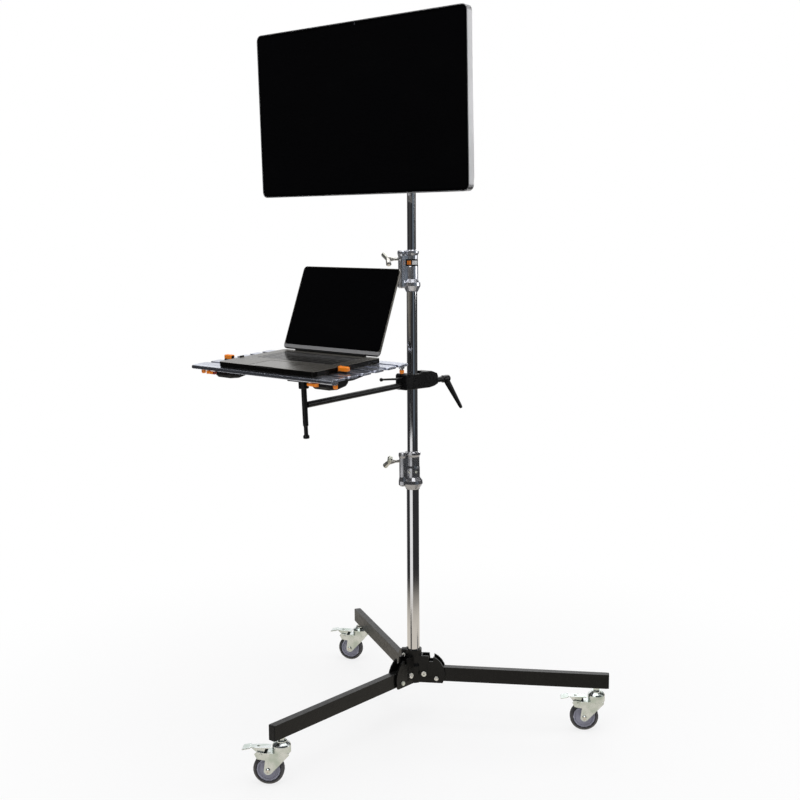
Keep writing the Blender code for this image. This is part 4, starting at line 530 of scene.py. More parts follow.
def blasted(sheet, colour, roughness, stretch=(1.0, 1.0, 1.0)):
    """Blasted and anodised aluminium, whose grain may run along one axis."""
    grain = sheet.noise(*GRAIN, stretch)
    coarse = sheet.ramp(grain, 0.3, 0.7)
    worn = sheet.edges(EDGE_WEAR) * 0.5
    sheet.shader(Base_Color=sheet.mixed(worn, clouded(sheet, colour), scaled(colour, 1.3, 0.02)),
                 Metallic=1.0,
                 Roughness=sheet.between(coarse, roughness - 0.04, roughness + 0.06),
                 Normal=sheet.bump(grain, 0.000004, SOFT_EDGE))


def collar_finish(sheet, colour, metallic, band, orange):
    """Polished casting and, on the upper collar, a black neck band with two coloured patches."""
    shade = sheet.ramp(sheet.noise(*CASTING_SHADE), 0.35, 0.75)
    tone = sheet.mixed(shade * 0.6, colour, scaled(colour, 0.75))
    rough = sheet.between(shade, 0.12, 0.20)
    metal = metallic
    if band:
        height = sheet.along(Matrix.Identity(4), 2)
        middle = (BAND_LOW + BAND_HIGH) / 2
        reach = (BAND_HIGH - BAND_LOW) / 2
        front = about_stand(FRONT_HEADING)
        across = sheet.along(front, 1)
        ring = sheet.within(height, middle, reach) * (across > BAND_START)
        patch = sheet.within(height, middle, reach - BAND_RIM) * (sheet.along(front, 0) > 0.0)
        tone = sheet.mixed(ring, tone, BAND_BLACK)
        for span, paint in ((ORANGE_PATCH, scaled(orange, 0.8)), (PALE_PATCH, PATCH_GREY)):
            spread = sheet.within(across, (span[0] + span[1]) / 2, (span[1] - span[0]) / 2)
            tone = sheet.mixed(patch * spread, tone, paint)
        rough = rough.most(ring * 0.4)
        metal = metallic * (1.0 - ring)
    sheet.shader(Base_Color=tone, Metallic=metal, Roughness=rough,
                 Normal=sheet.bump(sheet.noise(*CASTING_WAVES), 0.000004, SOFT_EDGE))


def tyre_rubber(sheet, colour, matrix):
    """Grey rubber, dusty on its tread, with a moulding line round the middle and a shiny side."""
    across = sheet.along(matrix, 1)
    tread = sheet.within(across, 0.0, TREAD_REACH, TREAD_BLUR)
    line = sheet.within(across, 0.0, MOULDING_LINE)
    grime = sheet.ramp(sheet.noise(*GRIME), 0.4, 0.75)
    dusty = sheet.mixed(grime * 0.5 + tread * 0.4, colour, scaled(colour, 2.0))
    sheet.shader(Base_Color=sheet.mixed(line, dusty, scaled(colour, 0.5)),
                 Roughness=sheet.between(tread, 0.45, 0.75),
                 Normal=sheet.bump(sheet.noise(*RUBBER) + line, 0.00008, SOFT_EDGE))


def display(sheet, colour, matrix, reach_x, middle_z, reach_z, border):
    """Display glass: a black border, a panel a shade lighter behind it, and the faintest smears."""
    panel = (sheet.within(sheet.along(matrix, 0), 0.0, reach_x - border)
             * sheet.within(sheet.along(matrix, 2), middle_z, reach_z - border))
    smear = sheet.ramp(sheet.noise(*SMEARS, (1.0, 1.0, 2.0)), 0.45, 0.85)
    behind = sheet.mixed(panel, colour, scaled(colour, 1.6, 0.0005))
    sheet.shader(Base_Color=sheet.mixed(smear * 0.5, behind, scaled(colour, 1.0, 0.0016)),
                 Roughness=sheet.between(smear, 0.07, 0.14), Specular_IOR_Level=0.15)


def laptop_case_finish(sheet, colour, keys):
    """Anodised case with black keys in their well, a smoother trackpad and drilled grilles, with painted
    shade on its walls, in the well and in the grilles' holes, and painted highlights on the keys' edges.
    """
    place = laptop_frame()
    across = sheet.along(place, 0)
    back = sheet.along(place, 1)
    up = sheet.along(place, 2)
    raised = up > LAPTOP_TOP - KEYS_DEPTH
    keys_span = sheet.within(back, KEYS_Y, KEYS_HALF_DEPTH) * raised
    well = sheet.within(across, 0.0, KEYS_HALF_WIDTH) * keys_span
    caps = well * (up > KEY_TOP)
    pad_middle = (PAD_FRONT + PAD_BACK) / 2
    pad = (sheet.within(across, 0.0, PAD_HALF_WIDTH)
           * sheet.within(back, pad_middle, (PAD_BACK - PAD_FRONT) / 2) * raised)
    grille_middle = (GRILLE_START + GRILLE_END) / 2
    band = sheet.within(abs(across), grille_middle, (GRILLE_END - GRILLE_START) / 2)
    dots = (across.wave(GRILLE_PITCH) * back.wave(GRILLE_PITCH)) > 0.5
    grille = band * keys_span * dots
    grain = sheet.noise(*GRAIN)
    edge = sheet.edges(EDGE_WEAR)
    tone = sheet.mixed(edge * 0.6, clouded(sheet, colour), scaled(colour, 1.4, 0.03))
    tone = sheet.mixed(pad * 0.5, tone, scaled(colour, 0.75))
    # Painted shade: the grilles' holes are black
    tone = sheet.mixed(grille, tone, GRILLE_HOLE_SHADE)
    # Painted shade: the case's walls below the rim are near black
    shaded_walls = up < LAPTOP_TOP - RIM_DEPTH
    tone = sheet.mixed(shaded_walls, tone, scaled(colour, 0.06))
    # Painted shade in the keys' well: half the case's colour
    tone = sheet.mixed(well, tone, scaled(colour, 0.5))
    tone = sheet.mixed(caps, tone, keys)
    # Painted highlight along the keys' edges
    tone = sheet.mixed(edge * well * 0.8, tone, KEY_EDGE_HIGHLIGHT)
    rough = sheet.between(sheet.ramp(grain, 0.3, 0.7), 0.24, 0.31) - pad * 0.05
    sheet.shader(Base_Color=tone, Metallic=0.6 - well.most(grille) * 0.6,
                 Roughness=rough - caps * 0.12, Specular_IOR_Level=0.12,
                 Normal=sheet.bump(grain - grille * 3.0, 0.000003, SOFT_EDGE))


def lid_finish(sheet, colour):
    """Anodised lid with a paler chin under the screen and a black hinge cover."""
    place = lid_frame()
    up = sheet.along(place, 2)
    hinge = up < LID_HINGE_TOP
    chin = (up < LID_CHIN) * (up > LID_HINGE_TOP) * (sheet.along(place, 1) < LID_FACE)
    grain = sheet.noise(*GRAIN)
    worn = sheet.edges(EDGE_WEAR) * 0.6
    tone = sheet.mixed(worn, clouded(sheet, colour), scaled(colour, 1.4, 0.03))
    tone = sheet.mixed(chin, tone, CHIN_GREY)
    tone = sheet.mixed(hinge, tone, HINGE_BLACK)
    sheet.shader(Base_Color=tone, Metallic=1.0 - hinge - chin * 0.5,
                 Roughness=sheet.between(sheet.ramp(grain, 0.3, 0.7), 0.34, 0.44),
                 Normal=sheet.bump(grain, 0.000003, SOFT_EDGE))


def split_finish(sheet, matrix, axis, level, first, second, first_metal=0.0, second_metal=0.0):
    """A moulded piece in two colours: second lies beyond level along the frame's axis."""
    far = sheet.ramp(sheet.along(matrix, axis), level - LINE_BLUR, level + LINE_BLUR)
    scuffs = sheet.ramp(sheet.noise(*SCUFFS), 0.5, 0.8)
    tone = sheet.mixed(far, first, second)
    sheet.shader(Base_Color=sheet.mixed(scuffs * 0.25, tone, scaled(second, 0.7, 0.01)),
                 Metallic=sheet.between(far, first_metal, second_metal),
                 Roughness=sheet.between(scuffs, 0.30, 0.42),
                 Normal=sheet.bump(sheet.noise(*MOULDING), 0.00002, SOFT_EDGE))


def clip_finish(sheet, matrix, arm, black, orange):
    """A black clip whose cap, beyond its arm and above its foot, is orange."""
    cap = (sheet.along(matrix, 0) > arm) * (sheet.along(matrix, 2) > CLIP_FOOT)
    scuffs = sheet.ramp(sheet.noise(*SCUFFS), 0.5, 0.8)
    tone = sheet.mixed(cap, black, orange)
    sheet.shader(Base_Color=sheet.mixed(scuffs * 0.2, tone, SCUFF_BROWN),
                 Roughness=sheet.between(scuffs, 0.32, 0.45),
                 Normal=sheet.bump(sheet.noise(*MOULDING), 0.00002, SOFT_EDGE))


def dress(names, made):
    """Puts a material in every slot of the named pieces."""
    for name in names:
        for slot in NODES[name].material_slots:
            slot.material = made


# Small fittings

def lofted(work, rings):
    """Adds a closed skin through rings of points with equal counts, capped at both ends."""
    loops = [[work.verts.new(point) for point in ring] for ring in rings]
    for lower, upper in zip(loops, loops[1:]):
        for index, corner in enumerate(lower):
            following = (index + 1) % len(lower)
            work.faces.new((corner, lower[following], upper[following], upper[index]))
    work.faces.new(loops[0])
    work.faces.new(loops[-1])


def fitting(name, body, finish, shapes):
    """One piece made of lofted shapes, each a list of rings in the part's frame."""
    work = bmesh.new()
    for rings in shapes:
        lofted(work, rings)
    bmesh.ops.recalc_face_normals(work, faces=work.faces)
    mesh = bpy.data.meshes.new(name)
    work.to_mesh(mesh)
    work.free()
    mesh.materials.append(finish)
    made = bpy.data.objects.new(name, mesh)
    bpy.context.scene.collection.objects.link(made)
    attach(made, body)


def circle(matrix, radius, height):
    angles = [2.0 * pi * step / CORNERS for step in range(CORNERS)]
    return [matrix @ Vector((radius * cos(angle), radius * sin(angle), height)) for angle in angles]


def hexagon(matrix, radius, height):
    """A hexagon sampled at as many points as a circle, with its corners at radius."""
    ring = []
    for step in range(CORNERS):
        angle = 2.0 * pi * step / CORNERS
        side = (angle % (pi / 3)) - pi / 6
        reach = radius * cos(pi / 6) / cos(side)
        ring.append(matrix @ Vector((reach * cos(angle), reach * sin(angle), height)))
    return ring


def socket_cap(matrix, radius, height, socket):
    """A round cap on the matrix's XY plane with a chamfered edge and a hexagon socket."""
    chamfer = min(CHAMFER, height / 2)
    return [circle(matrix, radius, 0.0), circle(matrix, radius, height - chamfer),
            circle(matrix, radius - chamfer, height), hexagon(matrix, socket, height),
            hexagon(matrix, socket, height * CAP_SOCKET_FLOOR)]


def domed(matrix, radius, height, socket=0.0):
    """A pan head: a dome on the XY plane, with a hexagon socket where one is given."""
    rings = [circle(matrix, radius, 0.0)]
    top = sin(DOME_STEPS * DOME_TURN)
    for step in range(1, DOME_STEPS + 1):
        angle = step * DOME_TURN
        rings.append(circle(matrix, radius * cos(angle) ** 0.5, height * sin(angle) / top))
    if socket:
        floor = height * DOME_SOCKET_FLOOR
        rings += [hexagon(matrix, socket, height), hexagon(matrix, socket, floor)]
    return rings


def stadium(matrix, half_length, half_height, height):
    """A round-ended slot's outline, along X."""
    ring = []
    straight = half_length - half_height
    for step in range(CORNERS):
        angle = 2.0 * pi * (step + 0.5) / CORNERS
        centre = straight if cos(angle) > 0.0 else -straight
        across = centre + half_height * cos(angle)
        ring.append(matrix @ Vector((across, half_height * sin(angle), height)))
    return ring


def port(matrix, half_length, half_height):
    """A shallow port with a raised lip and a sunk floor."""
    return [stadium(matrix, half_length + PORT_LIP, half_height + PORT_LIP, PORT_FOOT),
            stadium(matrix, half_length + PORT_LIP, half_height + PORT_LIP, PORT_RIM),
            stadium(matrix, half_length, half_height, PORT_RIM),
            stadium(matrix, half_length, half_height, PORT_FLOOR)]


# Settings

def colour_setting(name, description, default):
    return bpy.props.FloatVectorProperty(name=name, description=description, default=default,
                                         subtype="COLOR")


def length_setting(name, description, default, low=0.0):
    return bpy.props.FloatProperty(name=name, description=description, default=default, min=low,
                                   unit="LENGTH")


class WorkstationFinish(bpy.types.PropertyGroup):
    """Colours of the finishes."""
    black: colour_setting("Black paint", "Powder coat on the base, the legs and the monitor's bracket",
                          (0.0034, 0.0034, 0.0033))
    clamp: colour_setting("Clamp black", "Black anodising on the clamp, the arm and the post",
                          (0.0050, 0.0050, 0.0052))
    plastic: colour_setting("Black plastic", "Moulded end caps, pods, knob and clips",
                            (0.0080, 0.0080, 0.0085))
    chrome: colour_setting("Chrome", "Plating of the column's tubes", (0.72, 0.72, 0.73))
    casting: colour_setting("Upper collar", "Polished casting of the upper collar", (0.68, 0.69, 0.74))
    # The lower collar is the same casting as the upper one: its darker colour is painted shade
    shaded_lower_casting: colour_setting("Lower collar", "Lower collar's casting, darkened as painted shade",
                                 (0.45, 0.45, 0.47))
    zinc: colour_setting("Zinc plate", "Plating of the casters' stems, forks and pedals",
                         (0.79, 0.83, 0.83))
    handle: colour_setting("T-handles", "Cast handles of the collars' screws", (0.64, 0.62, 0.58))
    steel: colour_setting("Screw steel", "Bare steel of the bolts, the small screws and the caps",
                          (0.74, 0.72, 0.68))
    silver: colour_setting("Monitor shell", "Blasted aluminium of the monitor's back",
                           (0.62, 0.62, 0.63))
    tray: colour_setting("Tray", "Anodising of the tray's slats", (0.60, 0.63, 0.73))
    rail: colour_setting("Tray rail", "Brighter anodising of the tray's front rail", (0.74, 0.78, 0.88))
    laptop: colour_setting("Laptop", "Anodising of the laptop's case and lid", (0.27, 0.255, 0.228))
    keys: colour_setting("Keys", "Key caps of the laptop", (0.0065, 0.0065, 0.0065))
    orange: colour_setting("Orange", "Moulded orange of the clips, the cam levers and the stud caps",
                           (0.95, 0.26, 0.014))
    tyre: colour_setting("Tyre", "Rubber of the casters' tyres", (0.042, 0.042, 0.046))
    core: colour_setting("Wheel core", "Moulded centres of the casters' wheels", (0.34, 0.34, 0.41))
    glass: colour_setting("Display", "Black of the two displays", (0.0006, 0.0006, 0.0008))


class WorkstationFittings(bpy.types.PropertyGroup):
    """Sizes of the small fittings."""
    tie_cap: length_setting("Tie bolt cap", "Radius of the steel caps on the base's tie bolts",
                            0.0073, low=0.0071)
    fold_cap: length_setting("Fold bolt cap", "Radius of the socket caps on the legs' fold bolts",
                             0.0050)
    axle_cap: length_setting("Axle cap", "Radius of the socket caps on the wheels' axles", 0.0048)
    collar_screw: length_setting("Collar screw", "Radius of the screws in the lower collar's front",
                                 0.0036)
    mount_screw: length_setting("Mount screw", "Radius of the pan heads in the monitor's mount plate",
                                0.0042)
    rivet: length_setting("Tray rivet", "Radius of the rivets under the tray's cross bars", 0.0034)
    camera_dot: length_setting("Camera dot", "Radius of the small camera window above the display",
                               0.0032)


class WorkstationStage(bpy.types.PropertyGroup):
    """Floor and light."""
    floor: colour_setting("Floor", "Colour of the studio's floor", (0.86, 0.86, 0.87))
    floor_size: length_setting("Floor size", "Width and depth of the floor", 10.0)
    ambient: bpy.props.FloatProperty(
        name="Ambient", description="Strength of the even light from all round",
        default=0.40, min=0.0, subtype="FACTOR")
    overhead_power: bpy.props.FloatProperty(
        name="Overhead power", description="Power of the softbox above the object, in watts",
        default=62.0, unit="POWER")
    side_power: bpy.props.FloatProperty(
        name="Side power", description="Power of each lamp at the sides, in watts",
        default=26.0, unit="POWER")


# Pieces

def black_coat(finish):
    return material("satin_black_coat", coated, tuple(finish.black), 0.30)


def black_moulding(finish):
    return material("matt_black_plastic", coated, tuple(finish.plastic), 0.5)


def screw_steel(finish):
    return material("screw_steel", plated, tuple(finish.steel), 0.16, (1.0, 1.0, 1.0))


def satin_steel(finish):
    return material("satin_steel", pressed_zinc, scaled(finish.steel, 1.15), 0.30, 0.5)


class WORKSTATION_OT_base(bpy.types.Operator):
    """Finish the folding base and the legs, and cap their bolts"""
    bl_idname = "workstation.base"
    bl_label = "Base and legs"

    def execute(self, context):
        finish = context.scene.workstation_finish
        sizes = context.scene.workstation_fittings
        dress(["base_casting"] + [f"{leg}_leg_tube" for leg in LEGS], black_coat(finish))
        dress([f"{leg}_leg_end_cap" for leg in LEGS], black_moulding(finish))
        dress([f"{leg}_fold_bolt" for leg in LEGS], satin_steel(finish))
        caps = []
        sockets = []
        for heading, _ in LEGS.values():
            for side in (-1, 1):
                tie = shifted(TIE_REACH, side * (TIE_FACE + TIE_GAP), TIE_HEIGHT)
                caps.append(socket_cap(about_stand(heading) @ tie @ facing(side),
                                       sizes.tie_cap, TIE_CAP_HEIGHT, TIE_SOCKET))
            end = sizes.fold_cap * FOLD_END_SHARE
            fold = shifted(FOLD_REACH, FOLD_FACE, FOLD_HEIGHT)
            sockets.append(socket_cap(about_stand(heading) @ fold @ facing(1),
                                      end, FOLD_CAP_HEIGHT, FOLD_SOCKET))
            nut = shifted(FOLD_REACH, -FOLD_TAIL, FOLD_HEIGHT)
            sockets.append(domed(about_stand(heading) @ nut @ facing(-1), end, FOLD_NUT_HEIGHT))
        lug = about_stand(LUG_HEADING) @ shifted(LUG_REACH, LUG_FACE, LUG_HEIGHT) @ facing(1)
        caps.append(socket_cap(lug, LUG_CAP, LUG_CAP_HEIGHT, LUG_SOCKET))
        fitting("base_bolt_caps", "stand", satin_steel(finish), caps)
        fitting("fold_bolt_ends", "stand", satin_steel(finish), sockets)
        return {"FINISHED"}


class WORKSTATION_OT_casters(bpy.types.Operator):
    """Finish the casters and cap their axles"""
    bl_idname = "workstation.casters"
    bl_label = "Casters"

    def execute(self, context):
        finish = context.scene.workstation_finish
        sizes = context.scene.workstation_fittings
        zinc = material("zinc_plate", pressed_zinc, tuple(finish.zinc), 0.20)
        core = material("wheel_core_plastic", coated, tuple(finish.core), 0.42)
        for leg in LEGS:
            place = caster_frame(leg)
            dress([f"{leg}_caster_stem", f"{leg}_caster_fork", f"{leg}_brake_pedal"], zinc)
            dress([f"{leg}_wheel_tyre"],
                  material(f"{leg}_tyre_rubber", tyre_rubber, tuple(finish.tyre), place))
            dress([f"{leg}_wheel_core"], core)
            ends = []
            for side in (-1, 1):
                axle = shifted(CASTER_TRAIL, side * (AXLE_FACE + STAND_OFF), AXLE_HEIGHT)
                ends.append(socket_cap(place @ axle @ facing(side),
                                       sizes.axle_cap, AXLE_CAP_HEIGHT, AXLE_SOCKET))
            fitting(f"{leg}_axle_sockets", f"{leg}_caster", screw_steel(finish), ends)
        return {"FINISHED"}


class WORKSTATION_OT_column(bpy.types.Operator):
    """Finish the column's tubes, its collars and their T-handles"""
    bl_idname = "workstation.column"
    bl_label = "Column"

    def execute(self, context):
        finish = context.scene.workstation_finish
        sizes = context.scene.workstation_fittings
        orange = tuple(finish.orange)
        dress(["lower_tube", "middle_tube", "top_tube"],
              material("bright_chrome", plated, tuple(finish.chrome), 0.045))
        dress(["upper_collar"],
              material("bright_collar", collar_finish, tuple(finish.casting), 0.85, True, orange))
        # Its darker colour is painted shade: the lower collar is the same casting as the upper one
        dress(["lower_collar"],
              material("painted_shade_collar", collar_finish, tuple(finish.shaded_lower_casting), 0.90, False, orange))
        screws = []
        for heading in COLLAR_SCREW_HEADINGS:
            spot = shifted(COLLAR_SCREW_REACH, 0.0, COLLAR_SCREW_Z) @ turned(90.0, "Y")
            screws.append(domed(about_stand(heading) @ spot,
                                sizes.collar_screw, COLLAR_SCREW_HEIGHT, COLLAR_SCREW_SOCKET))
        fitting("lower_collar_screws", "stand", satin_steel(finish), screws)
        dress(["lower_t_handle", "upper_t_handle"],
              material("t_handle_plate", pressed_zinc, tuple(finish.handle), 0.22, 0.85))
        return {"FINISHED"}


class WORKSTATION_OT_monitor(bpy.types.Operator):
    """Finish the monitor and its bracket, with its camera window and mount screws"""
    bl_idname = "workstation.monitor"
    bl_label = "Monitor"

    def execute(self, context):
        finish = context.scene.workstation_finish
        sizes = context.scene.workstation_fittings
        dress(["monitor_rear_shell"], material("monitor_aluminium", blasted, tuple(finish.silver), 0.42))
        screen = screen_frame()
        dress(["monitor_glass"],
              material("monitor_display", display, tuple(finish.glass), screen,
                       SCREEN_HALF_WIDTH, 0.0, SCREEN_HALF_HEIGHT, SCREEN_BORDER))
        dress(["monitor_mount_plate", "monitor_bracket"], black_coat(finish))
        dress(["bracket_lock_knob"], black_moulding(finish))
        window = screen @ shifted(0.0, SCREEN_FRONT - STAND_OFF, CAMERA_DOT_Z) @ facing(-1)
        lens = material("camera_window", plated, LENS_GREY, 0.12, (1.0, 1.0, 1.0))
        fitting("monitor_camera_window", "monitor", lens,
                [domed(window, sizes.camera_dot, CAMERA_DOT_HEIGHT)])
        heads = []
        for side_x in (-1, 1):
            for side_z in (-1, 1):
                hole = shifted(side_x * MOUNT_HOLES, MOUNT_FACE + STAND_OFF, side_z * MOUNT_HOLES)
                heads.append(domed(monitor_frame() @ hole @ facing(1),
                                   sizes.mount_screw, MOUNT_SCREW_HEIGHT, MOUNT_SCREW_SOCKET))
        fitting("mount_plate_screws", "monitor", screw_steel(finish), heads)
        return {"FINISHED"}


class WORKSTATION_OT_support(bpy.types.Operator):
    """Finish the clamp, the arm and the post"""
    bl_idname = "workstation.support"
    bl_label = "Clamp and arm"

    def execute(self, context):
        finish = context.scene.workstation_finish
        dress(["clamp_body", "clamp_jaw", "clamp_handle", "arm_lock_lever", "support_arm",
               "support_post", "tray_receiver"],
              material("black_anodised", coated, tuple(finish.clamp), 0.32, 0.00002))
        return {"FINISHED"}


class WORKSTATION_OT_tray(bpy.types.Operator):
    """Finish the tray, its studs, levers, pods and clips, and rivet its bars"""
    bl_idname = "workstation.tray"
    bl_label = "Tray"

    def execute(self, context):
        finish = context.scene.workstation_finish
        sizes = context.scene.workstation_fittings
        orange = tuple(finish.orange)
        black = tuple(finish.plastic)
        place = tray_frame()
        grain = (0.03, 1.0, 1.0)
        dress(["tray_deck"], material("tray_anodised", blasted, tuple(finish.tray), 0.28, grain))
        dress(["tray_front_rail"], material("rail_anodised", blasted, tuple(finish.rail), 0.22, grain))
        dress(["left_accessory_pod", "right_accessory_pod"], black_moulding(finish))
        dress([f"{end}_{side}_corner_stud" for end in ("front", "rear") for side in ("left", "right")],
              material("stud_two_tone", split_finish, place, 2, STUD_SPLIT, orange, STUD_SILVER,
                       0.0, 1.0))
        lever = place @ shifted(CAM_X, CAM_Y, 0.0)
        dress(["left_cam_lever"],
              material("left_lever_two_tone", split_finish, lever, 0, CAM_TIP, orange, LEVER_RED))
        dress(["right_cam_lever"],
              material("right_lever_orange", split_finish, lever, 0, 1.0, orange, orange))
        for name, (arm, _) in CLIP_ARMS.items():
            dress([f"{name}_laptop_clip"],
                  material(f"{name}_clip_two_tone", clip_finish, clip_frame(name), arm, black, orange))
        rivets = []
        for bar in (-BAR_REACH, 0.0, BAR_REACH):
            for slat in range(SLAT_COUNT):
                # No rivet at the middle bar's front end
                if bar == 0.0 and slat == 0:
                    continue
                middle = SLAT_START + SLAT_WIDTH / 2 + slat * SLAT_PITCH
                spot = shifted(bar, middle, BAR_UNDERSIDE - STAND_OFF)
                rivets.append(domed(place @ spot @ turned(180.0, "X"), sizes.rivet, RIVET_HEIGHT))
        fitting("tray_rivets", "tray", screw_steel(finish), rivets)
        return {"FINISHED"}


class WORKSTATION_OT_laptop(bpy.types.Operator):
    """Finish the laptop and add its side ports"""
    bl_idname = "workstation.laptop"
    bl_label = "Laptop"

    def execute(self, context):
        finish = context.scene.workstation_finish
        colour = tuple(finish.laptop)
        dress(["laptop_top_case"],
              material("laptop_keyboard_case", laptop_case_finish, scaled(colour, CASE_SHADE),
                       tuple(finish.keys)))
        dress(["laptop_bottom_cover"],
              material("laptop_cover", blasted, scaled(colour, COVER_SHADE), 0.42))
        dress(["laptop_lid"], material("laptop_lid_aluminium", lid_finish, colour))
        middle = (LID_CHIN + LID_PANEL_TOP) / 2
        dress(["laptop_screen"],
              material("laptop_display", display, tuple(finish.glass), lid_frame(),
                       LAPTOP_HALF_WIDTH - LID_SCREEN_INSET, middle, middle - LID_CHIN,
                       LID_SCREEN_BORDER))
        ports = []
        for side, openings in PORTS.items():
            turn = turned(90.0 * side, "Z") @ turned(90.0, "X")
            for back, half_length in openings:
                wall = shifted(side * (LAPTOP_HALF_WIDTH + PORT_STAND_OFF), back, PORT_HEIGHT)
                ports.append(port(laptop_frame() @ wall @ turn, half_length, PORT_HALF_HEIGHT))
        # The ports' near-black colour is painted shade for the depth of their openings
        dark = material("port_shade_metal", plated, PORT_SHADE_GREY, 0.3, (1.0, 1.0, 1.0))
        fitting("laptop_ports", "tray", dark, ports)
        return {"FINISHED"}


# Stage

def sector(sheet, flat, heading, reach):
    """1 for the directions within reach of a heading, all in degrees."""
    centre = Vector((cos(radians(heading)), sin(radians(heading)), 0.0))
    turn = sheet.vector("DOT_PRODUCT", flat, centre, "Value")
    return sheet.ramp(turn, cos(radians(reach + SECTOR_BLUR)), cos(radians(reach - SECTOR_BLUR)))


def glow(sheet, kind, colour, strength=1.0):
    """A shader that shines by itself, of the emission or the background kind."""
    return sheet.node(kind, None, {"Color": colour, "Strength": strength})


def floor_finish(sheet, colour):
    """A pale floor: washed out to white far off, and a pool of white in what the metal mirrors."""
    emission = "ShaderNodeEmission"
    place = sheet.place()
    offset = sheet.vector("SUBTRACT", place, STAND)
    flat = sheet.vector("NORMALIZE", offset, (0.0, 0.0, 0.0))
    distance = sheet.vector("LENGTH", offset, (0.0, 0.0, 0.0), "Value")
    tone = sheet.mixed(sheet.noise(2.0) * 0.05, colour, FLOOR_CLOUD)
    painted = sheet.shader(Base_Color=tone, Roughness=0.7, Specular_IOR_Level=0.1)
    white = glow(sheet, emission, WHITE)
    far = sheet.ramp(distance, *WHITE_REACH, WHITE_SHARE, 1.0)
    seen = sheet.joined(far, painted, white)
    pool = sector(sheet, flat, *NEAR_FLOOR) * sheet.ramp(distance, *POOL_REACH)
    lit = pool.most(sector(sheet, flat, *BACKGROUND))
    mirrored = sheet.joined(lit, glow(sheet, emission, DARK_ROOM), white)
    near = sheet.ramp(distance, *BEIGE_REACH)
    mirrored = sheet.joined(near, mirrored, glow(sheet, emission, BEIGE_FLOOR))
    paths = "ShaderNodeLightPath"
    other = sheet.joined(sheet.node(paths, output="Is Glossy Ray"), painted, mirrored)
    sheet.end(sheet.joined(sheet.node(paths, output="Is Camera Ray"), other, seen))


def studio_world(sheet, ambient):
    """White for the camera, an even glow for the light, and a dark room with strips for metal."""
    background = "ShaderNodeBackground"
    direction = sheet.node("ShaderNodeTexCoord", output="Generated")
    level = sheet.vector("MULTIPLY", direction, (1.0, 1.0, 0.0))
    flat = sheet.vector("NORMALIZE", level, (0.0, 0.0, 0.0))
    height = sheet.vector("DOT_PRODUCT", direction, (0.0, 0.0, 1.0), "Value")
    room = sheet.joined(sheet.ramp(height, *CEILING_RISE), glow(sheet, background, DARK_ROOM),
                        glow(sheet, background, CEILING))
    for heading, reach, colour in STRIPS:
        low = sector(sheet, flat, heading, reach) * sheet.ramp(height, *STRIP_FADE)
        room = sheet.joined(low, room, glow(sheet, background, colour))
    behind = sector(sheet, flat, *BACKGROUND) * sheet.ramp(height, *BACKGROUND_FADE)
    room = sheet.joined(behind, room, glow(sheet, background, WHITE))
    paths = "ShaderNodeLightPath"
    even = glow(sheet, background, WHITE, ambient)
    other = sheet.joined(sheet.node(paths, output="Is Glossy Ray"), even, room)
    white = glow(sheet, background, WHITE)
    sheet.end(sheet.joined(sheet.node(paths, output="Is Camera Ray"), other, white), "World Output")


def area_light(name, place, size, power):
    """A white softbox that faces LAMP_TARGET."""
    data = bpy.data.lights.new(name, "AREA")
    data.shape = "RECTANGLE"
    data.size, data.size_y = size
    data.energy = power
    light = bpy.data.objects.new(name, data)
    light.location = place
    light.rotation_euler = (Vector(LAMP_TARGET) - Vector(place)).to_track_quat("-Z", "Y").to_euler()
    bpy.context.scene.collection.objects.link(light)


def photo_camera():
    data = bpy.data.cameras.new("photo_camera")
    data.sensor_width = SENSOR
    data.lens = FOCAL_PIXELS * SENSOR / IMAGE_PIXELS
    data.clip_end = 100.0
    camera = bpy.data.objects.new("photo_camera", data)
    forward = CAMERA_FORWARD.normalized()
    right = (CAMERA_RIGHT - forward * CAMERA_RIGHT.dot(forward)).normalized()
    turn = Matrix((right, right.cross(forward), -forward)).transposed().to_4x4()
    camera.matrix_world = Matrix.Translation(STAND + CAMERA_PLACE) @ turn
    return camera


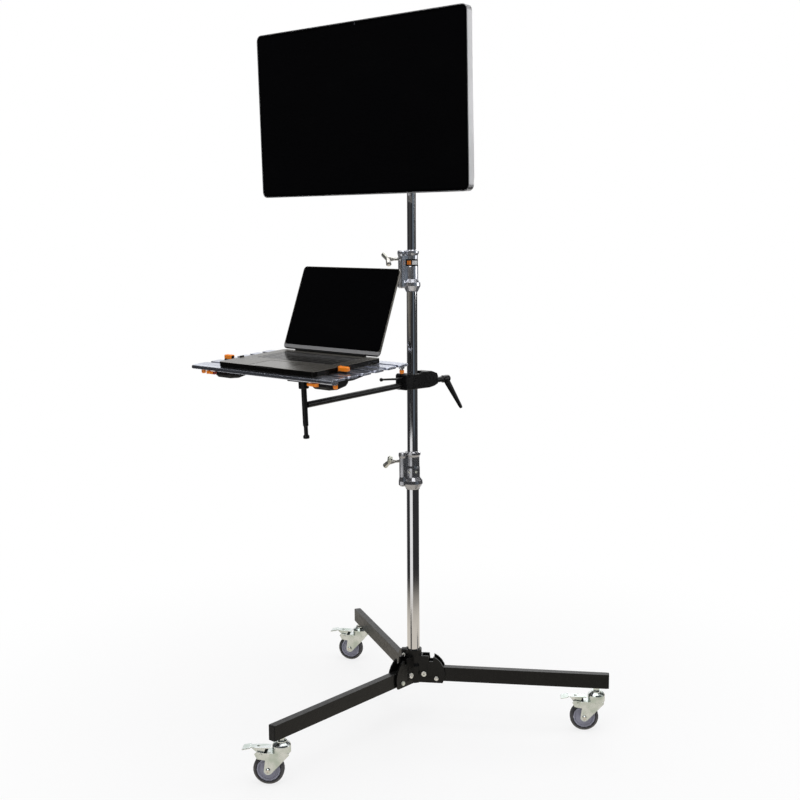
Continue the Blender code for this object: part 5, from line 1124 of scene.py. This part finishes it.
class WORKSTATION_OT_stage(bpy.types.Operator):
    """Set the floor, the lights and the camera"""
    bl_idname = "workstation.stage"
    bl_label = "Studio"

    def execute(self, context):
        stage = context.scene.workstation_stage
        half = stage.floor_size / 2
        mesh = bpy.data.meshes.new("studio_floor")
        corners = [(-half, -half, 0.0), (half, -half, 0.0), (half, half, 0.0), (-half, half, 0.0)]
        mesh.from_pydata(corners, [], [(0, 1, 2, 3)])
        mesh.materials.append(material("studio_floor_paint", floor_finish, tuple(stage.floor)))
        floor = bpy.data.objects.new("studio_floor", mesh)
        context.scene.collection.objects.link(floor)
        world = bpy.data.worlds.new("studio_room")
        studio_world(Sheet(world), stage.ambient)
        context.scene.world = world
        area_light("overhead_softbox", *OVERHEAD_LAMP, stage.overhead_power)
        for name, (place, size) in SIDE_LAMPS.items():
            area_light(f"{name}_softbox", place, size, stage.side_power)
        context.scene.view_settings.view_transform = "Standard"
        camera = photo_camera()
        context.scene.collection.objects.link(camera)
        context.scene.camera = camera
        return {"FINISHED"}


class WORKSTATION_PT_panel(bpy.types.Panel):
    """Sidebar panel with the workstation's settings"""
    bl_label = "Workstation"
    bl_idname = "WORKSTATION_PT_panel"
    bl_space_type = "VIEW_3D"
    bl_region_type = "UI"
    bl_category = "Workstation"

    def draw(self, context):
        scene = context.scene
        for group in (scene.workstation_finish, scene.workstation_fittings, scene.workstation_stage):
            for name in group.bl_rna.properties.keys():
                if name not in ("rna_type", "name"):
                    self.layout.prop(group, name)
        for kind in OPERATORS:
            self.layout.operator(kind.bl_idname)


OPERATORS = (WORKSTATION_OT_base, WORKSTATION_OT_casters, WORKSTATION_OT_column, WORKSTATION_OT_monitor,
             WORKSTATION_OT_support, WORKSTATION_OT_tray, WORKSTATION_OT_laptop, WORKSTATION_OT_stage)
GROUPS = (WorkstationFinish, WorkstationFittings, WorkstationStage)


def register():
    for kind in GROUPS + OPERATORS + (WORKSTATION_PT_panel,):
        bpy.utils.register_class(kind)
    bpy.types.Scene.workstation_finish = bpy.props.PointerProperty(
        type=WorkstationFinish, name="Finishes", description="Colours of the workstation's finishes")
    bpy.types.Scene.workstation_fittings = bpy.props.PointerProperty(
        type=WorkstationFittings, name="Fittings",
        description="Sizes of the workstation's small fittings")
    bpy.types.Scene.workstation_stage = bpy.props.PointerProperty(
        type=WorkstationStage, name="Studio", description="Floor and light round the workstation")


def unregister():
    del bpy.types.Scene.workstation_stage
    del bpy.types.Scene.workstation_fittings
    del bpy.types.Scene.workstation_finish
    for kind in reversed(GROUPS + OPERATORS + (WORKSTATION_PT_panel,)):
        bpy.utils.unregister_class(kind)


def main():
    register()
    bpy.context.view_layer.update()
    bpy.ops.workstation.base()
    bpy.ops.workstation.casters()
    bpy.ops.workstation.column()
    bpy.ops.workstation.monitor()
    bpy.ops.workstation.support()
    bpy.ops.workstation.tray()
    bpy.ops.workstation.laptop()
    bpy.ops.workstation.stage()
    bpy.context.view_layer.update()


if __name__ == "__main__":
    main()
